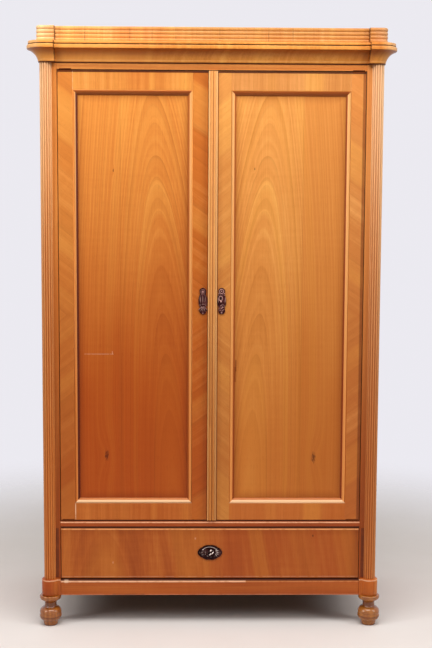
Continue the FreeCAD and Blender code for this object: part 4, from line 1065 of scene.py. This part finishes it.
def addArc(shape, centre, radius, tube, start=0, end=360, stretch=(1.0, 1.0)):
    # a bead bent round centre in an upright plane; angles in degrees from +X towards +Z
    before = set(shape.verts)
    ring = bmesh.ops.create_circle(shape, segments=escutcheonLook["tubeSides"], radius=tube)["verts"]
    bmesh.ops.translate(shape, verts=ring, vec=(radius, 0, 0))
    turnShape(shape, ring, -start, "Y")
    turn = end - start
    bmesh.ops.spin(shape, geom=ring + list({edge for v in ring for edge in v.link_edges}), cent=(0, 0, 0),
                   axis=(0, -1, 0), angle=radians(turn), use_merge=turn >= 360, use_duplicate=False,
                   steps=max(escutcheonLook["leastSteps"], int(turn / escutcheonLook["tubeStep"])))
    made = [v for v in shape.verts if v not in before]
    bmesh.ops.scale(shape, verts=made, vec=(stretch[0], 1.0, stretch[1]))
    bmesh.ops.translate(shape, verts=made, vec=centre)
    if turn < 360:  # scrolls end in small beads
        for angle in (radians(start), radians(end)):
            tip = (centre[0] + radius * stretch[0] * cos(angle), centre[1],
                   centre[2] + radius * stretch[1] * sin(angle))
            addBead(shape, tip, tube * escutcheonLook["endBead"], (1, 0.9, 1))


def addBead(shape, centre, size, squash, turn=0.0):
    # an oval bead; turn leans its long axis from upright towards +X
    made = bmesh.ops.create_icosphere(shape, subdivisions=2, radius=1.0)["verts"]
    bmesh.ops.scale(shape, verts=made, vec=[size * share for share in squash])
    turnShape(shape, made, turn, "Y")
    bmesh.ops.translate(shape, verts=made, vec=centre)


def escutcheon(name, arcs, beads, finish=bronzeFinish):
    # the plate with a sunk field inside a raised border, and cast scrolls on it; places in mm from its middle
    shape = copiedShape(name)
    low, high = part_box(name)
    front = [f for f in shape.faces if f.normal.y < -0.99 and f.calc_center_median().y < low.y + 1e-4]
    insetFaces(shape, front, escutcheonLook["border"])
    shiftFaces(shape, front, (0, escutcheonLook["sunk"], 0))
    roundEdges(shape, sharpEdges(shape, 45), escutcheonLook["edge"])

    def spot(x, z):
        return ((low.x + high.x) / 2 + x / 1000, low.y + escutcheonLook["reliefDepth"],
                (low.z + high.z) / 2 + z / 1000)

    for x, z, radius, tube, *rest in arcs:
        addArc(shape, spot(x, z), radius / 1000, tube / 1000, *rest)
    for x, z, size, squash, turn in beads:
        addBead(shape, spot(x, z), size / 1000, squash, turn)
    bmesh.ops.recalc_face_normals(shape, faces=shape.faces)
    finishPiece(shape, camel(name), bodyOf[name], [finish], 40, [name])


def fan(x, z, reach, size, squash, turns):
    # petals round one point, each turned from straight up
    return [(x + reach * sin(radians(turn)), z + reach * cos(radians(turn)),
             size, squash, turn) for turn in turns]


escutcheon(
    "left_door_escutcheon",
    [(-0.5, 31, 7.6, 1.2, 0, 360), (-0.5, 15, 8.2, 1.1, 15, 165), (8.6, -13, 3.0, 1.1, -100, 150),
     (-8.6, -13, 3.0, 1.1, 30, 280)],
    [(-0.5, 30, 5.4, (1, 0.34, 0.9), 0), (-1, 6, 15, (0.25, 0.09, 1), 0), (7.6, 5, 13, (0.12, 0.13, 1), 5),
     (-9.0, 5, 13, (0.13, 0.16, 1), -5), (0, -11, 2.6, (1, 0.7, 1), 0), (0, -41, 2.2, (1, 0.7, 1), 0)]
    + fan(0, -14, 13.5, 10.5, (0.14, 0.19, 1), (180, 160, 200, 138, 222)),
)
escutcheon(
    "right_door_escutcheon",
    [(-0.5, 32.5, 7.0, 1.9, 0, 360), (-3.5, 9, 6.2, 2.0, 0, 360, (0.95, 1.2)),
     (6.4, 20.5, 3.6, 1.1, -40, 170), (-6.8, 20.5, 3.4, 1.1, 20, 220), (5.2, -17, 4.4, 1.2, -150, 120),
     (-4.8, -27, 4.4, 1.2, 30, 300)],
    [(-0.5, 32.5, 2.9, (1, 0.8, 1), 0), (9.4, 25, 2.4, (1, 0.9, 1), 0), (-9.4, 25.5, 2.1, (1, 0.9, 1), 0),
     (-2.4, -1.5, 3.6, (0.9, 0.8, 1.1), 0), (11.6, 3, 11, (0.15, 0.2, 1), 5),
     (-12, 3, 11, (0.13, 0.2, 1), -5), (-1.5, -14, 7.6, (0.2, 0.24, 1), 52),
     (1.5, -23, 8.4, (0.2, 0.24, 1), 52), (3, -31.5, 7.4, (0.2, 0.24, 1), 52),
     (0, -39.6, 2.8, (1.3, 0.7, 0.9), 0)],
)
escutcheon(
    "drawer_escutcheon",
    [(-1, 1.5, 18.0, 1.5, 18, 150, (1.45, 1.0)), (-3, -2.5, 5.2, 0.9, 0, 360),
     (7.4, 2.4, 4.4, 1.2, -40, 150), (-22, -2, 6.5, 1.0, 40, 320, (1.3, 1.0)),
     (25, 1, 5.5, 1.0, -140, 140, (1.3, 1.0))],
    [(2.6, 6.6, 3.9, (0.8, 0.8, 1.1), 30), (9.0, -2.0, 6.2, (0.42, 0.5, 1), 42),
     (1.2, -6.4, 6.0, (0.38, 0.5, 1), 48), (-15, 0, 5.0, (0.8, 0.2, 1.1), 0),
     (-35.0, 0, 3.6, (0.8, 0.26, 1.4), 0), (36.0, 0, 3.4, (0.8, 0.26, 1.3), 0),
     (-8, -12, 3.4, (1.5, 0.34, 0.7), 20), (-16, 8.5, 3.2, (1.4, 0.3, 0.7), -20),
     (3, -15.5, 3.0, (1.6, 0.34, 0.6), 0), (16, -12, 3.0, (1.4, 0.34, 0.6), -24)]
    + fan(-15, 0, 12, 6.2, (0.4, 0.18, 1), (-90, -52, -128))
    + fan(14, 0, 12, 7.5, (0.2, 0.2, 1), (90, 64, 116, 38, 142)),
    drawerBronze,
)
print("escutcheons done")

# floor, light and camera
stageLook = {
    "floorSize": 24.0,
    "floorTones": (rgb(228, 223, 220), rgb(222, 216, 212)),
    "floorCloud": 5.0,
    "floorRoughness": 0.8,
    "floorShine": 0.05,
    "floorFade": (1.0, 2.6),  # metres from the middle, over which the floor passes into the backdrop
    "backdrop": (0.835, 0.822, 0.875, 1.0),
    "ambientTint": (1.0, 0.985, 0.97, 1.0),
    "ambientRise": (0.05, 0.95, 0.01, 0.8),  # heights in the sky, and the strengths there
    "lampTint": (1.0, 0.985, 0.965),
    "lamps": (
        ("overheadLamp", (0.0, -1.45, 3.15), (0.0, -0.3, 1.3), (2.4, 1.2), 55.0),
        ("leftLamp", (-3.1, -1.9, 2.3), (0.0, -0.24, 1.6), (0.7, 2.0), 43.0),
        ("rightLamp", (3.1, -1.9, 2.3), (0.0, -0.24, 1.6), (0.7, 2.0), 43.0),
    ),
    "cameraPlace": (-0.0503, -3.94865, 1.3872),
    "pitchDown": 5.478,
    "yawRight": 1.0227,
    "roll": 0.277,
    "lens": 62.13,
}


def mixShaders(share, *shaders):
    return addNode("MixShader", (share, *(shader.outputs[0] for shader in shaders))).outputs[0]


floorShape = bmesh.new()
bmesh.ops.create_grid(floorShape, x_segments=1, y_segments=1, size=stageLook["floorSize"] / 2)
floorMesh = bpy.data.meshes.new("floor")
floorShape.to_mesh(floorMesh)
floorShape.free()
floorFinish, floorShader = freshMaterial("paleFloor")
floorPlace = objectPlace()
floorCloud = stretched(floorPlace, (1, 1, 1), 3.0, stageLook["floorCloud"])
wire(floorShader, {
    "Base Color": blendColour(floorCloud, *stageLook["floorTones"]),
    "Roughness": stageLook["floorRoughness"],
    "Specular IOR Level": stageLook["floorShine"],
})
floorReach = addNode("VectorMath", [floorPlace], operation="LENGTH").outputs["Value"]
floorFade = remap(floorReach, *stageLook["floorFade"])
faded = mixShaders(floorFade, floorShader, addNode("BsdfTransparent"))
wire(floorFinish.node_tree.nodes["Material Output"], {"Surface": faded})
floorMesh.materials.append(floorFinish)
floor = bpy.data.objects.new("floor", floorMesh)
intoScene(floor)

world = bpy.data.worlds.new("softRoom")
world.use_nodes = True
bpy.context.scene.world = world
work["tree"] = world.node_tree
world.node_tree.nodes.clear()
skyHeight = splitAxes(addNode("TexCoord").outputs["Generated"])[2]
strength = remap(skyHeight, *stageLook["ambientRise"])
ambientLight = addNode("Background", {"Color": stageLook["ambientTint"], "Strength": strength})
seenBackdrop = addNode("Background", {"Color": stageLook["backdrop"]})
rays = addNode("LightPath").outputs
mirrored = calc("MAXIMUM", rays["Is Glossy Ray"], rays["Is Transmission Ray"])
shows = calc("MAXIMUM", rays["Is Camera Ray"], mirrored)
addNode("OutputWorld", {"Surface": mixShaders(shows, ambientLight, seenBackdrop)})

for label, place, aim, size, power in stageLook["lamps"]:
    lamp = bpy.data.lights.new(label, "AREA")
    lamp.shape = "RECTANGLE"
    lamp.size, lamp.size_y = size
    lamp.energy = power
    lamp.color = stageLook["lampTint"]
    holder = bpy.data.objects.new(label, lamp)
    holder.location = place
    holder.rotation_euler = (Vector(aim) - Vector(place)).to_track_quat("-Z", "Y").to_euler()
    intoScene(holder)

lensData = bpy.data.cameras.new("frontCamera")
lensData.sensor_width = 36.0
lensData.lens = stageLook["lens"]
camera = bpy.data.objects.new("frontCamera", lensData)
turned = (Matrix.Rotation(radians(-stageLook["yawRight"]), 4, "Z")
          @ Matrix.Rotation(radians(90 - stageLook["pitchDown"]), 4, "X")
          @ Matrix.Rotation(radians(stageLook["roll"]), 4, "Z"))
camera.matrix_world = Matrix.Translation(stageLook["cameraPlace"]) @ turned
intoScene(camera)
bpy.context.scene.camera = camera
bpy.context.scene.view_settings.view_transform = "Standard"
print("stage done")
